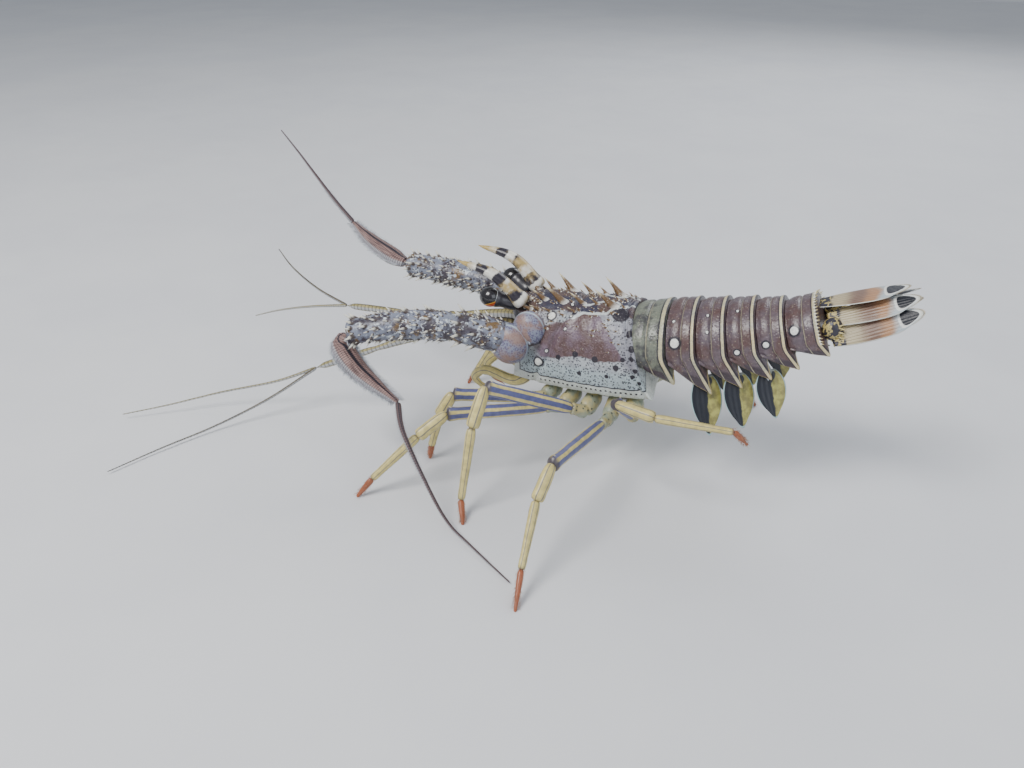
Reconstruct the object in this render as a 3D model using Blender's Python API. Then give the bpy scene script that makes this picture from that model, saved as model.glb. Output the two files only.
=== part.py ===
# Spiny lobster, a still life-size model standing on its walking legs.
# Metres, +Z up. The head points along -X and the animal's left side is -Y.
# Run with: blender --background --python part.py

import math

import bmesh
import bpy
from mathutils import Vector
from mathutils.bvhtree import BVHTree

# Driving sizes
MM = 0.001
CL = 92 * MM                      # carapace length, horn base to rear edge
GAP = 0.3 * MM                    # clearance between neighbouring pieces
WELDS = (0.03 * MM, 0.015 * MM, 0.006 * MM, 0.002 * MM)   # points closer than this become one
WELD_CHANGE = 0.01                # most that welding may change a piece's volume
CENTRE_SHIFT = Vector((53.1 * MM, 14.9 * MM, 0))   # moves the origin under the middle of the whole

# Thorax
THORAX_WIDTH = 0.66 * CL
THORAX_HEIGHT = 0.62 * CL
THORAX_CENTRE = Vector((0, 0, 72 * MM))
THORAX_PITCH = math.radians(4.35)

# Abdomen: length, width and height of each of the six segments
SEGMENT_LENGTHS = [0.130, 0.188, 0.184, 0.179, 0.169, 0.193]
SEGMENT_WIDTHS = [0.98, 1.0, 0.97, 0.92, 0.87, 0.80]
SEGMENT_HEIGHTS = [0.92, 1.0, 0.98, 0.94, 0.87, 0.74]
ABDOMEN_WIDTH = 0.59 * CL
ABDOMEN_HEIGHT = 0.4585 * CL
ARCH_SHARE = 0.58                 # part of the height above the segment axis
ABDOMEN_START = (0.50, 0.60)      # share of CL behind centre, share of thorax height
FIRST_YAW, NEXT_YAW = math.radians(3.06), math.radians(0.16)
FIRST_PITCH, NEXT_PITCH = math.radians(3.6), math.radians(2.63)
FAN_LENGTH = 0.567 * CL

# Legs: root on the sternum, end of coxa, knee, end of carpus, end of propodus, foot
LEGS_MM = {
    "left_1": [(-10, -11, 42), (-15, -24, 39), (-63, -55, 46), (-70, -60, 32), (-75, -63, 10), (-76.6, -63.2, 0)],
    "left_2": [(3, -12, 42), (-1, -28, 38), (-57, -75, 44.5), (-69, -89, 34), (-90, -109, 10.5), (-96.8, -116.4, 0)],
    "left_3": [(16, -13, 43), (14, -30, 39), (-31, -75, 69), (-32.5, -90, 50), (-33.5, -104, 9), (-27.4, -113.9, 0)],
    "left_4": [(29, -14, 44), (30, -32, 39), (22, -105, 50), (20, -121, 37), (23, -147, 13), (27, -163.8, 0)],
    "left_5": [(41, -14, 46), (44, -30, 43), (40, -51, 62), (63, -55, 61), (106, -50, 60.5), (113, -45, 51)],
    "right_1": [(-10, 11, 42), (-16, 24, 40), (-64, 46, 52), (-77, 44, 38), (-92, 37, 10), (-97, 32, 0)],
    "right_2": [(3, 12, 42), (0, 28, 40), (-40, 64, 61), (-52, 76, 45), (-72, 97, 10), (-78, 104, 0)],
    "right_3": [(16, 13, 43), (15, 30, 41), (-4, 73, 63), (-9, 88, 47), (-14, 116, 11), (-16, 126, 0)],
    "right_4": [(29, 14, 44), (30, 32, 42), (34, 76, 64), (37, 92, 49), (40, 122, 12), (42, 134, 0)],
    "right_5": [(41, 14, 46), (46, 31, 44), (64, 56, 66), (73, 64, 50), (94, 79, 12), (101, 86, 0)],
}
RAISED_LEG = "left_5"
KNEE_SPINE = 3.6 * MM
COXA_RADIUS = 5.6 * MM
MERUS_RADIUS = 4.3 * MM
FOOT_RADIUS = 1.4 * MM

# Antennae: the thick spiny stalk, then the folding base of the whip, then the whip
STALK_MM = {
    "left": [(-14, -20, 80), (-36, -28, 78), (-70, -39, 83.5), (-101, -52, 84), (-130, -65, 79)],
    "right": [(-14, 20, 80), (-36, 27, 79), (-70, 28, 85), (-104, 27, 88), (-138, 25, 90)],
}
STALK_RADII_MM = [9.5, 11.0, 9.8, 9.4, 7.6]
BOSSES_MM = [(-17, 26, 77, 9.0), (-12, 19, 89, 7.0)]   # rounded pads by the right antenna's root, with radius
WHIP_BASE_RADII = [(0, 4.8), (0.22, 7.2), (0.6, 5.6), (1, 2.1)]
STALK_FLATTEN = 0.92
# Rings of stalk spines: share of the length, how many, length in millimetres, first angle
BASE_SPINES = [(0.50, 5, 3.5, 60), (0.66, 6, 4.0, 20), (0.84, 7, 5.5, 55)]
STALK_SPINES = [(0.24, 5, 4.5, 30), (0.40, 5, 4.0, 0), (0.58, 5, 4.0, 40), (0.86, 7, 5.5, 10)]
STALK_LEAN = 0.9
WHIP_BASE_MM = {
    "left": [(-130, -65, 79), (-130, -69, 71), (-115, -75, 60), (-84, -84, 51)],
    "right": [(-138, 25, 90), (-148, 26, 92), (-170, 33, 98), (-192, 43, 106)],
}
WHIP_MM = {
    "left": [(-84, -84, 51), (-72, -99, 41), (-50, -111, 16), (-33, -121, 5), (-15, -130, 2.3), (16.8, -147, 1.2)],
    "right": [(-192, 43, 106), (-215, 55, 116), (-240, 69, 128), (-264, 83, 139), (-290, 98, 150)],
}

# Horn over the right eye, and the centre of that eye
HORN_MM = [(-33, 12.5, 94), (-53, 15, 111), (-78, 14.5, 116)]
EYE_MM = (-54.5, 17, 97)
SOCKET_GAP = 0.45 * MM             # clearance of the horns and eyes, whose sockets have sharp corners

# Antennules: a slender stalk, then two thin whips
FEELER_STALK_MM = {
    "left": [(-40, -6, 77), (-62, -10, 74), (-112, -24, 59), (-175, -40, 32)],
    "right": [(-40, 6, 77), (-62, 9, 73), (-112, 6, 64), (-176, 3, 60)],
}
FEELER_WHIPS_MM = {
    "left_outer": [(-175, -40, 32), (-200, -63, 14), (-222, -93, 4), (-238, -127, 2.4), (-250, -160, 2)],
    "left_inner": [(-175, -40, 32), (-203, -50, 20), (-238, -67, 12), (-266, -89, 7), (-290, -108, 4)],
    "right_outer": [(-176, 3, 60), (-205, 10, 65), (-235, 23, 71), (-262, 42, 75)],
    "right_inner": [(-176, 3, 60), (-205, 0, 55), (-235, 1, 46), (-263, 6, 34)],
}

# Colours, as red, green, blue
COLOURS = {
    "shell": (0.20, 0.12, 0.13),
    "under": (0.42, 0.50, 0.52),
    "band": (0.24, 0.17, 0.17),
    "horn": (0.55, 0.50, 0.40),
    "eye": (0.02, 0.02, 0.025),
    "stalk": (0.30, 0.31, 0.36),
    "whip": (0.16, 0.12, 0.14),
    "feeler": (0.35, 0.30, 0.14),
    "leg": (0.50, 0.44, 0.22),
    "swimmeret": (0.30, 0.32, 0.10),
    "fan": (0.45, 0.36, 0.26),
}

FORWARD = Vector((-1, 0, 0))
UP = Vector((0, 0, 1))

part_collection = None


def clear_scene():
    """Remove whatever the file opens with."""
    for old in list(bpy.data.objects):
        bpy.data.objects.remove(old, do_unlink=True)


def new_collection(name):
    collection = bpy.data.collections.new(name)
    bpy.context.scene.collection.children.link(collection)
    return collection


def paint(piece, colour, roughness=0.45):
    """Give a piece its own Principled material."""
    material = bpy.data.materials.new(piece.name + "_finish")
    material.use_nodes = True
    shader = material.node_tree.nodes["Principled BSDF"]
    shader.inputs["Base Color"].default_value = (*COLOURS[colour], 1)
    shader.inputs["Roughness"].default_value = roughness
    shader.inputs["Metallic"].default_value = 0.0
    piece.data.materials.clear()
    piece.data.materials.append(material)
    piece.data.shade_smooth()
    piece.data.set_sharp_from_angle(angle=math.radians(40))


def add_object(name, bm, collection=None):
    """Turn a bmesh into an object with its faces pointing out."""
    bmesh.ops.recalc_face_normals(bm, faces=bm.faces)
    if bm.calc_volume(signed=True) < 0:
        bmesh.ops.reverse_faces(bm, faces=bm.faces)
    mesh = bpy.data.meshes.new(name)
    bm.to_mesh(mesh)
    bm.free()
    piece = bpy.data.objects.new(name, mesh)
    (collection or part_collection).objects.link(piece)
    return piece


def loft(name, rings, collection=None, split=None):
    """Skin a row of rings and close each end with a fan, or with two flat faces that meet at split."""
    bm = bmesh.new()
    loops = [[bm.verts.new(point) for point in ring] for ring in rings]
    count = len(loops[0])
    for first, second in zip(loops, loops[1:]):
        for i in range(count):
            j = (i + 1) % count
            bm.faces.new((first[i], first[j], second[j], second[i]))
    for loop in (loops[0], loops[-1]):
        if split:
            first, last = split
            halves = [bm.faces.new(loop[first:last + 1]), bm.faces.new(loop[last:] + loop[:first + 1])]
            bmesh.ops.triangulate(bm, faces=halves)
            continue
        middle = bm.verts.new(sum((vert.co for vert in loop), Vector()) / count)
        for i in range(count):
            bm.faces.new((loop[i], loop[(i + 1) % count], middle))
    return add_object(name, bm, collection)


def bent_path(points_mm, steps):
    """Smooth points by a Catmull-Rom spline, with the given steps in each stretch."""
    points = [Vector(point) * MM for point in points_mm]
    ends = [2 * points[0] - points[1]] + points + [2 * points[-1] - points[-2]]
    path = []
    for a, b, c, d in zip(ends, ends[1:], ends[2:], ends[3:]):
        for step in range(steps):
            t = step / steps
            path.append(0.5 * (2 * b + (c - a) * t + (2 * a - 5 * b + 4 * c - d) * t * t
                               + (3 * b - a - 3 * c + d) * t ** 3))
    return path + [points[-1]]


def ring_frame(path, index, reference):
    """Tangent, side and up directions at one point of a path."""
    before = path[max(index - 1, 0)]
    after = path[min(index + 1, len(path) - 1)]
    tangent = (after - before).normalized()
    side = tangent.cross(reference).normalized()
    return tangent, side, side.cross(tangent).normalized()


def tube_rings(path, radii, sides, reference, flatten=1.0):
    """Oval rings across a path; flatten thins them along the reference direction."""
    rings = []
    for index, radius in enumerate(radii):
        tangent, side, up = ring_frame(path, index, reference)
        ring = []
        for k in range(sides):
            angle = 2 * math.pi * k / sides
            ring.append(path[index] + side * radius * math.cos(angle)
                        + up * radius * flatten * math.sin(angle))
        rings.append(ring)
    return rings


def applied(piece):
    """Replace a piece's mesh with its evaluated one."""
    bpy.context.view_layer.update()
    graph = bpy.context.evaluated_depsgraph_get()
    mesh = bpy.data.meshes.new_from_object(piece.evaluated_get(graph))
    piece.modifiers.clear()
    piece.data = mesh


def weld_slivers(piece):
    """Weld the slivers that a Boolean leaves, by the largest distance that keeps the piece closed."""
    for distance in WELDS:
        bm = bmesh.new()
        bm.from_mesh(piece.data)
        volume = bm.calc_volume()
        bmesh.ops.remove_doubles(bm, verts=bm.verts, dist=distance)
        bmesh.ops.dissolve_degenerate(bm, dist=distance, edges=bm.edges)
        bmesh.ops.triangulate(bm, faces=bm.faces)
        if bm.calc_volume(signed=True) < 0:
            bmesh.ops.reverse_faces(bm, faces=bm.faces)
        closed = all(edge.is_manifold for edge in bm.edges)
        if closed and abs(bm.calc_volume() / volume - 1) < WELD_CHANGE:
            bm.to_mesh(piece.data)
            bm.free()
            return
        bm.free()


def keep_largest(piece):
    """Keep only the largest closed surface of a piece."""
    bm = bmesh.new()
    bm.from_mesh(piece.data)
    groups = []
    unseen = set(bm.verts)
    while unseen:
        stack = [unseen.pop()]
        group = set(stack)
        while stack:
            for edge in stack.pop().link_edges:
                for vert in edge.verts:
                    if vert in unseen:
                        unseen.remove(vert)
                        group.add(vert)
                        stack.append(vert)
        groups.append(group)
    groups.sort(key=lambda group: sum(face.calc_area() for face in bm.faces if face.verts[0] in group))
    for group in groups[:-1]:
        bmesh.ops.delete(bm, geom=list(group), context="VERTS")
    bm.to_mesh(piece.data)
    bm.free()
    weld_slivers(piece)


def fuse(piece, extras, solver="EXACT"):
    """Join many closed meshes to a piece with one union."""
    if not extras:
        return
    group = new_collection(piece.name + "_extras")
    for extra in extras:
        for owner in list(extra.users_collection):
            owner.objects.unlink(extra)
        group.objects.link(extra)
    union = piece.modifiers.new("union", "BOOLEAN")
    union.operation = "UNION"
    union.operand_type = "COLLECTION"
    union.collection = group
    union.solver = solver
    applied(piece)
    for extra in list(group.objects):
        bpy.data.objects.remove(extra, do_unlink=True)
    bpy.data.collections.remove(group)
    keep_largest(piece)


def surface_tree(piece):
    """A search tree of a piece's surface, thickened by the gap."""
    mesh = piece.data
    corners = [vert.co for vert in mesh.vertices]
    return BVHTree.FromPolygons(corners, [face.vertices for face in mesh.polygons], epsilon=GAP)


def fuse_spines(piece, make_spines):
    """Join spines to a piece, leaving out any that would touch another piece."""
    others = [surface_tree(other) for other in part_collection.objects if other.type == "MESH" and other != piece]
    kept = []
    for extra in make_spines():
        tree = surface_tree(extra)
        if any(tree.overlap(other) for other in others):
            bpy.data.objects.remove(extra, do_unlink=True)
        else:
            kept.append(extra)
    fuse(piece, kept)


def swollen_copy(piece, gap):
    """A copy of a piece grown by the gap, for cutting its neighbours."""
    bm = bmesh.new()
    bm.from_mesh(piece.data)
    bm.normal_update()
    moves = [(vert, vert.normal * gap * vert.calc_shell_factor()) for vert in bm.verts]
    for vert, move in moves:
        vert.co += move
    mesh = bpy.data.meshes.new(piece.name + "_cutter")
    bm.to_mesh(mesh)
    bm.free()
    cutter = bpy.data.objects.new(piece.name + "_cutter", mesh)
    bpy.context.scene.collection.objects.link(cutter)
    return cutter


def cut_clear(piece, neighbours, solver="EXACT", gap=GAP):
    """Cut a piece back from its neighbours, leaving the gap between their faces."""
    for neighbour in neighbours:
        cutter = swollen_copy(neighbour, gap)
        cut = piece.modifiers.new("cut", "BOOLEAN")
        cut.operation = "DIFFERENCE"
        cut.object = cutter
        cut.solver = solver
        applied(piece)
        bpy.data.objects.remove(cutter, do_unlink=True)
    keep_largest(piece)


def blend(value, table):
    """Read a smooth value from a table of (place, value) pairs."""
    for (x0, y0), (x1, y1) in zip(table, table[1:]):
        if value <= x1:
            t = max(0.0, (value - x0) / (x1 - x0))
            return y0 + (y1 - y0) * t * t * (3 - 2 * t)
    return table[-1][1]


def thorax_point(along, lateral, height):
    """A point of the thorax: along and lateral in metres, height above the sternum."""
    rise = height - THORAX_HEIGHT / 2
    return THORAX_CENTRE + Vector((
        along * math.cos(THORAX_PITCH) - rise * math.sin(THORAX_PITCH),
        lateral,
        along * math.sin(THORAX_PITCH) + rise * math.cos(THORAX_PITCH)))


# Carapace outline, read by the angle from the top: share of half width, share of height
OUTLINE_WIDTH = [(0, 0.0), (20, 0.36), (45, 0.70), (70, 0.93), (95, 1.0), (120, 0.97), (140, 0.86), (150, 0.74),
                 (165, 0.40), (180, 0.0)]
OUTLINE_HEIGHT = [(0, 1.0), (20, 0.975), (45, 0.86), (70, 0.66), (95, 0.44), (120, 0.24), (140, 0.10),
                  (150, 0.10), (165, 0.13), (180, 0.14)]
OUTLINE_ANGLES = [0, 14, 28, 42, 57, 72, 87, 102, 117, 130, 141, 150, 165, 180]
# Edges and groove, as shares of CL from the middle, by the same angle
FRONT_EDGE = [(0, -0.49), (28, -0.46), (50, -0.30), (72, -0.18), (95, -0.21), (117, -0.34), (141, -0.44),
              (180, -0.42)]
GROOVE_LINE = [(0, 0.02), (42, -0.04), (72, -0.10), (95, -0.14), (117, -0.22), (150, -0.27), (180, -0.27)]
REAR_EDGE = [(0, 0.39), (45, 0.42), (72, 0.46), (95, 0.485), (117, 0.52), (141, 0.565), (180, 0.54)]
WIDTH_ALONG = [(-0.50, 0.60), (-0.35, 0.76), (-0.20, 0.87), (0.0, 0.96), (0.2, 1.0), (0.4, 0.98), (0.52, 0.92)]
HEIGHT_ALONG = [(-0.50, 0.90), (-0.30, 0.985), (-0.12, 1.0), (0.0, 0.985), (0.2, 1.0), (0.38, 0.98),
                (0.52, 0.915)]
GROOVE_DEPTH = 0.045
# Carapace spines: angle from the top, stretch, share of the stretch, length in millimetres
CARAPACE_SPINES = (
    [(17, "front", share, length) for share, length in ((0.28, 9), (0.48, 8), (0.70, 7))]
    + [(15, "rear", share, length) for share, length in ((0.10, 11), (0.34, 6), (0.56, 5), (0.76, 4))]
    + [(0, "front", 0.55, 5), (0, "rear", 0.22, 4.5), (0, "rear", 0.66, 3.5)]
    + [(36, "front", share, length) for share, length in ((0.26, 7), (0.45, 6), (0.65, 5), (0.84, 4.5))]
    + [(33, "rear", share, length) for share, length in ((0.20, 5), (0.46, 4), (0.70, 3.5))]
    + [(52, "front", share, length) for share, length in ((0.06, 9), (0.36, 5), (0.66, 4.5))]
    + [(54, "rear", share, length) for share, length in ((0.14, 4.5), (0.36, 4), (0.58, 3.5))]
    + [(74, "front", 0.62, 3.5)]
)
SPINE_SIDES = 5
SPINE_SINK = 1.1                   # how far a spine's foot is sunk, in its own radii
SPINE_STOUT = 0.19                 # a spine's radius as a share of its length
SPINE_LEAN = 1.15                  # how much a carapace spine leans forwards
# Rows of the carapace net: (stretch, share of that stretch, swell of the surface)
CARAPACE_ROWS = [("front", 0.0, 0.0), ("front", 0.3, 0.0), ("front", 0.62, 0.012), ("front", 0.88, 0.0),
                 ("front", 1.0, -GROOVE_DEPTH), ("rear", 0.06, 0.0), ("rear", 0.2, 0.008), ("rear", 0.38, 0.006),
                 ("rear", 0.58, 0.0), ("rear", 0.76, 0.0), ("rear", 0.89, 0.0), ("rear", 0.94, -0.03),
                 ("rear", 0.965, 0.012), ("rear", 1.0, 0.006)]


def carapace_point(stretch, share, angle, swell=0.0):
    """A point of the carapace surface; the angle runs from the top, negative to the left."""
    turn = abs(angle)
    groove = blend(turn, GROOVE_LINE)
    if stretch == "front":
        start, end = blend(turn, FRONT_EDGE), groove
    else:
        start, end = groove, blend(turn, REAR_EDGE)
    along = start + (end - start) * share
    grow = 1 + swell * (1 if turn < 140 else 0)
    half = 0.5 * THORAX_WIDTH * blend(along, WIDTH_ALONG) * blend(turn, OUTLINE_WIDTH) * grow
    middle = 0.45
    level = blend(turn, OUTLINE_HEIGHT)
    level = middle + (level - middle) * grow
    if level > middle:
        level = middle + (level - middle) * (blend(along, HEIGHT_ALONG) - middle) / (1 - middle)
    return thorax_point(along * CL, math.copysign(half, angle), level * THORAX_HEIGHT)


def ring_angles():
    """The outline angles once round, left side first."""
    inner = OUTLINE_ANGLES[1:-1]
    return [-angle for angle in reversed(inner)] + [0] + inner + [180]


def spine(root, direction, length, radius):
    """A pointed spine of few sides, its foot sunk below the surface it stands on."""
    direction = direction.normalized()
    sink = SPINE_SINK * radius
    bm = bmesh.new()
    bmesh.ops.create_cone(bm, cap_ends=True, segments=SPINE_SIDES, radius1=radius, radius2=0, depth=length + sink)
    turn = UP.rotation_difference(direction).to_matrix()
    bmesh.ops.rotate(bm, matrix=turn, verts=bm.verts)
    bmesh.ops.translate(bm, vec=root + direction * ((length - sink) / 2), verts=bm.verts)
    return add_object("spine", bm)


def carapace_normal(stretch, share, angle):
    """The way out of the carapace at one point."""
    here = carapace_point(stretch, share, angle)
    backward = carapace_point(stretch, share + 0.05, angle) - here
    sideways = carapace_point(stretch, share, angle + 4) - here
    return backward.cross(sideways).normalized()


def carapace_spines():
    """Forward-leaning spines: a large row each side of the middle, smaller rows down the flanks."""
    spines = []
    for angle, stretch, share, length in CARAPACE_SPINES:
        for sign in ((1,) if angle == 0 else (-1, 1)):
            turn = angle * sign
            out = carapace_normal(stretch, share, turn)
            root = carapace_point(stretch, share, turn)
            spines.append(spine(root, out + FORWARD * SPINE_LEAN, length * MM, length * SPINE_STOUT * MM))
    return spines


def tube_spines(path, radii, rows):
    """Rings of spines round a stalk: (share of its length, count, length in mm, first angle)."""
    spines = []
    for share, count, length, first in rows:
        place = share * (len(path) - 1)
        index = min(int(place), len(path) - 2)
        rest = place - index
        tangent, side, up = ring_frame(path, index, UP)
        middle = path[index].lerp(path[index + 1], rest)
        radius = radii[index] + (radii[index + 1] - radii[index]) * rest
        for k in range(count):
            angle = math.radians(first + 360 * k / count)
            out = side * math.cos(angle) + up * math.sin(angle)
            root = middle + side * radius * math.cos(angle) + up * radius * STALK_FLATTEN * math.sin(angle)
            spines.append(spine(root, out + tangent * STALK_LEAN, length * MM, length * SPINE_STOUT * MM))
    return spines


def make_carapace():
    angles = ring_angles()
    rings = []
    face_middle = thorax_point(-0.47 * CL, 0, 0.55 * THORAX_HEIGHT)
    edge = [carapace_point("front", 0.0, angle) for angle in angles]
    for share in (0.25, 0.62):
        rings.append([face_middle.lerp(point, share) for point in edge])
    for stretch, share, swell in CARAPACE_ROWS:
        rings.append([carapace_point(stretch, share, angle, swell) for angle in angles])
    return loft("carapace", rings)


def make_sternum():
    """Breast plate between the legs, widening to the rear, with the mouth field in front."""
    table = [(-0.42, 7.0, 0.0), (-0.34, 10.0, -2.5), (-0.2, 9.0, -3.5), (-0.1, 10.0, -4.0), (0.1, 13.0, -4.0),
             (0.3, 16.0, -3.5), (0.44, 18.0, -3.0), (0.49, 14.0, -1.0)]
    rings = []
    for along, half, low in table:
        top = 0.20 * THORAX_HEIGHT
        outline = [(-half, top), (-half, low * MM + 3 * MM), (-half + 3, low * MM), (0, low * MM - 0.6 * MM),
                   (half - 3, low * MM), (half, low * MM + 3 * MM), (half, top), (0, top)]
        rings.append([thorax_point(along * CL, y * MM, z) for y, z in outline])
    return loft("sternum", rings)


def segment_frames():
    """Start, length, axes, half width and height of each abdomen segment, and of the fan."""
    start = thorax_point(ABDOMEN_START[0] * CL, 0, ABDOMEN_START[1] * THORAX_HEIGHT)
    yaw, pitch = 0.0, THORAX_PITCH
    frames = []
    for index in range(7):
        yaw += FIRST_YAW if index == 0 else NEXT_YAW
        pitch += FIRST_PITCH if index == 0 else NEXT_PITCH
        along = Vector((math.cos(yaw) * math.cos(pitch), math.sin(yaw) * math.cos(pitch), math.sin(pitch)))
        side = Vector((-math.sin(yaw), math.cos(yaw), 0))
        up = along.cross(side)
        if index < 6:
            length = SEGMENT_LENGTHS[index] * CL
            half = ABDOMEN_WIDTH / 2 * SEGMENT_WIDTHS[index]
            height = ABDOMEN_HEIGHT * SEGMENT_HEIGHTS[index]
        else:
            length, half, height = FAN_LENGTH, 0, 0
        frames.append({"start": start.copy(), "along": along, "side": side, "up": up,
                       "length": length, "half": half, "height": height})
        start = start + along * length
    for before, frame in zip([frames[0]] + frames, frames):
        frame["joint_side"] = (before["side"] + frame["side"]).normalized()
        frame["joint_up"] = (before["up"] + frame["up"]).normalized()
    return frames


# Rows of a segment: share of its length, swell, share of the side lobe's depth
SEGMENT_ROWS = [(0.0, -0.05, 0.24), (0.14, -0.02, 0.40), (0.42, 0.0, 0.72), (0.52, -0.035, 0.84),
                (0.62, 0.0, 0.94), (0.80, 0.01, 1.08), (0.92, 0.035, 1.12), (1.0, 0.03, 0.80)]
LOBE_DEPTHS = [0.85, 1.12, 1.02, 0.92, 0.84, 0.62]   # how far each segment's side lobes hang
LOBE_RAKE = 0.35                   # how far the lobes sweep back for each metre they hang
ARCH_ANGLES = [-90, -72, -54, -36, -18, 0, 18, 36, 54, 72, 90]
ARCH_SPLIT = (2, len(ARCH_ANGLES) + 1)   # the ring's points at the two ends of the arch
LOBE_WALL = 0.14                   # thickness of the side lobe as a share of the half width
BELLY_LEVEL = -0.10                # level of the underside as a share of the height
FIRST_SEGMENT_REACH = 2.0          # the first segment starts this many lengths ahead, under the carapace


def segment_ring(frame, next_frame, share, swell, lobe):
    """One ring of a segment: the arch, the two hanging side lobes and the underside."""
    half, height = frame["half"], frame["height"]
    if next_frame["half"]:
        half += (next_frame["half"] - half) * share * 0.6
        height += (next_frame["height"] - height) * share * 0.6
    centre = frame["start"] + frame["along"] * (frame["length"] * share)
    across = frame["joint_side"].lerp(next_frame["joint_side"], share)
    upward = frame["joint_up"].lerp(next_frame["joint_up"], share)
    backward = across.cross(upward)
    rise = height * ARCH_SHARE
    drop = height * (1 - ARCH_SHARE) * lobe
    grow = 1 + swell

    def place(y, z):
        return centre + across * y + upward * z + backward * LOBE_RAKE * max(0.0, -z)

    ring = []
    wall = LOBE_WALL * half
    belly = BELLY_LEVEL * height
    ring.append(place(-half * 0.93, -drop))
    ring.append(place(-half * 1.0 * grow, -drop * 0.5))
    for angle in ARCH_ANGLES:
        turn = math.radians(angle)
        ring.append(place(math.sin(turn) * half * grow, math.cos(turn) * rise * grow))
    ring.append(place(half * 1.0 * grow, -drop * 0.5))
    ring.append(place(half * 0.93, -drop))
    ring.append(place(half * 0.93 - wall, -drop * 0.92))
    ring.append(place(half * 0.93 - wall * 1.6, belly))
    ring.append(place(0, belly - 0.03 * height))
    ring.append(place(-half * 0.93 + wall * 1.6, belly))
    ring.append(place(-half * 0.93 + wall, -drop * 0.92))
    return ring


def make_abdomen(frames):
    pieces = []
    for index in range(6):
        frame, next_frame = frames[index], frames[index + 1]
        inset = GAP / frame["length"] / 2
        rings = []
        for share, swell, lobe in SEGMENT_ROWS:
            share = inset + share * (1 - 2 * inset)
            if index == 0:
                share = 1 - (1 - share) * FIRST_SEGMENT_REACH
            rings.append(segment_ring(frame, next_frame, share, swell, lobe * LOBE_DEPTHS[index]))
        pieces.append(loft("abdomen_%d" % (index + 1), rings, split=ARCH_SPLIT))
    return pieces


# Tail blades in the fan's own frame, millimetres along, to the left or right, and up:
# root, tip, half width and roll of each blade, folded like a closed roof
TELSON_MM = ((1.0, 0, 13.5), (46, 0, 11.5), 9.5, 0)
INNER_BLADE_MM = ((4, 9.8, 6.8), (50, 6.2, 6.4), 6.9, 32)
OUTER_BLADE_MM = ((4, 15.5, -2.2), (50, 9.5, -0.6), 7.2, 50)
KNOB_MM = (5.5, 13, 2.5)
BLADE_STATIONS = [(0.0, 0.62), (0.16, 0.82), (0.34, 0.95), (0.55, 1.0), (0.74, 0.98), (0.89, 0.86), (1.0, 0.62)]
BLADE_ROUND = 0.16                 # how far the end of a blade is rounded
BLADE_THICKNESS = 1.3 * MM
LEAF_STATIONS = [(0.0, 0.45), (0.14, 0.80), (0.36, 1.0), (0.62, 0.92), (0.85, 0.64), (1.0, 0.34)]
SWIMMERET_LENGTHS = [36 * MM, 32 * MM, 28 * MM, 19 * MM]
SWIMMERET_HALVES = [9.0 * MM, 8.8 * MM, 8.4 * MM, 6.0 * MM]
SWIMMERET_SPREADS = [0.62, 0.62, 0.62, 0.36]


def blade(name, root, along, side, up, length, half, bow, rays=4, stations=None, tip_thickness=0.6):
    """A thin tail or swimmeret blade with raised rays, split alike on both faces."""
    columns = 2 * rays
    bm = bmesh.new()
    faces_up, faces_down = [], []
    for share, width in stations or BLADE_STATIONS:
        row_up, row_down = [], []
        for column in range(columns + 1):
            v = 2 * column / columns - 1
            thick = BLADE_THICKNESS * (1 - (1 - tip_thickness) * share)
            ridge = 1.0 if column % 2 else 0.72
            edge = 0.75 if abs(v) == 1 else 1.0
            centre = (root + along * (length * share * (1 - BLADE_ROUND * v * v * share))
                      + side * (half * width * v) + up * bow(share, v * width))
            lift = up * (thick * ridge * edge / 2)
            row_up.append(bm.verts.new(centre + lift))
            row_down.append(bm.verts.new(centre - lift))
        faces_up.append(row_up)
        faces_down.append(row_down)
    for rows in (faces_up, faces_down):
        for first, second in zip(rows, rows[1:]):
            for i in range(rays):
                bm.faces.new((first[i], first[i + 1], second[i]))
                bm.faces.new((first[i + 1], second[i + 1], second[i]))
            for i in range(rays, columns):
                bm.faces.new((first[i], first[i + 1], second[i + 1]))
                bm.faces.new((first[i], second[i + 1], second[i]))
    border_up = rim(faces_up)
    border_down = rim(faces_down)
    for i in range(len(border_up)):
        j = (i + 1) % len(border_up)
        bm.faces.new((border_up[i], border_up[j], border_down[i]))
        bm.faces.new((border_up[j], border_down[j], border_down[i]))
    return add_object(name, bm)


def rim(rows):
    """The border vertices of a grid, once round."""
    border = list(rows[0])
    border += [row[-1] for row in rows[1:]]
    border += list(reversed(rows[-1][:-1]))
    border += [row[0] for row in reversed(rows[1:-1])]
    return border


def fan_blade(name, frame, sizes, sign, rays):
    """One blade of the folded tail fan, from its root, tip, half width and roll."""
    (a0, s0, u0), (a1, s1, u1), half, roll = sizes
    start = frame["start"]

    def place(along, side, up):
        return start + (frame["along"] * along + frame["side"] * side * sign + frame["up"] * up) * MM

    root, tip = place(a0, s0, u0), place(a1, s1, u1)
    along = (tip - root).normalized()
    turn = math.radians(roll)
    across = frame["side"] * math.cos(turn) - frame["up"] * math.sin(turn) * sign
    across = (across - along * across.dot(along)).normalized()
    normal = along.cross(across)
    return blade(name, root, along, across, normal, (tip - root).length, half * MM,
                 lambda share, v: -0.8 * MM * v * v * (0.4 + share), rays=rays)


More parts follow.
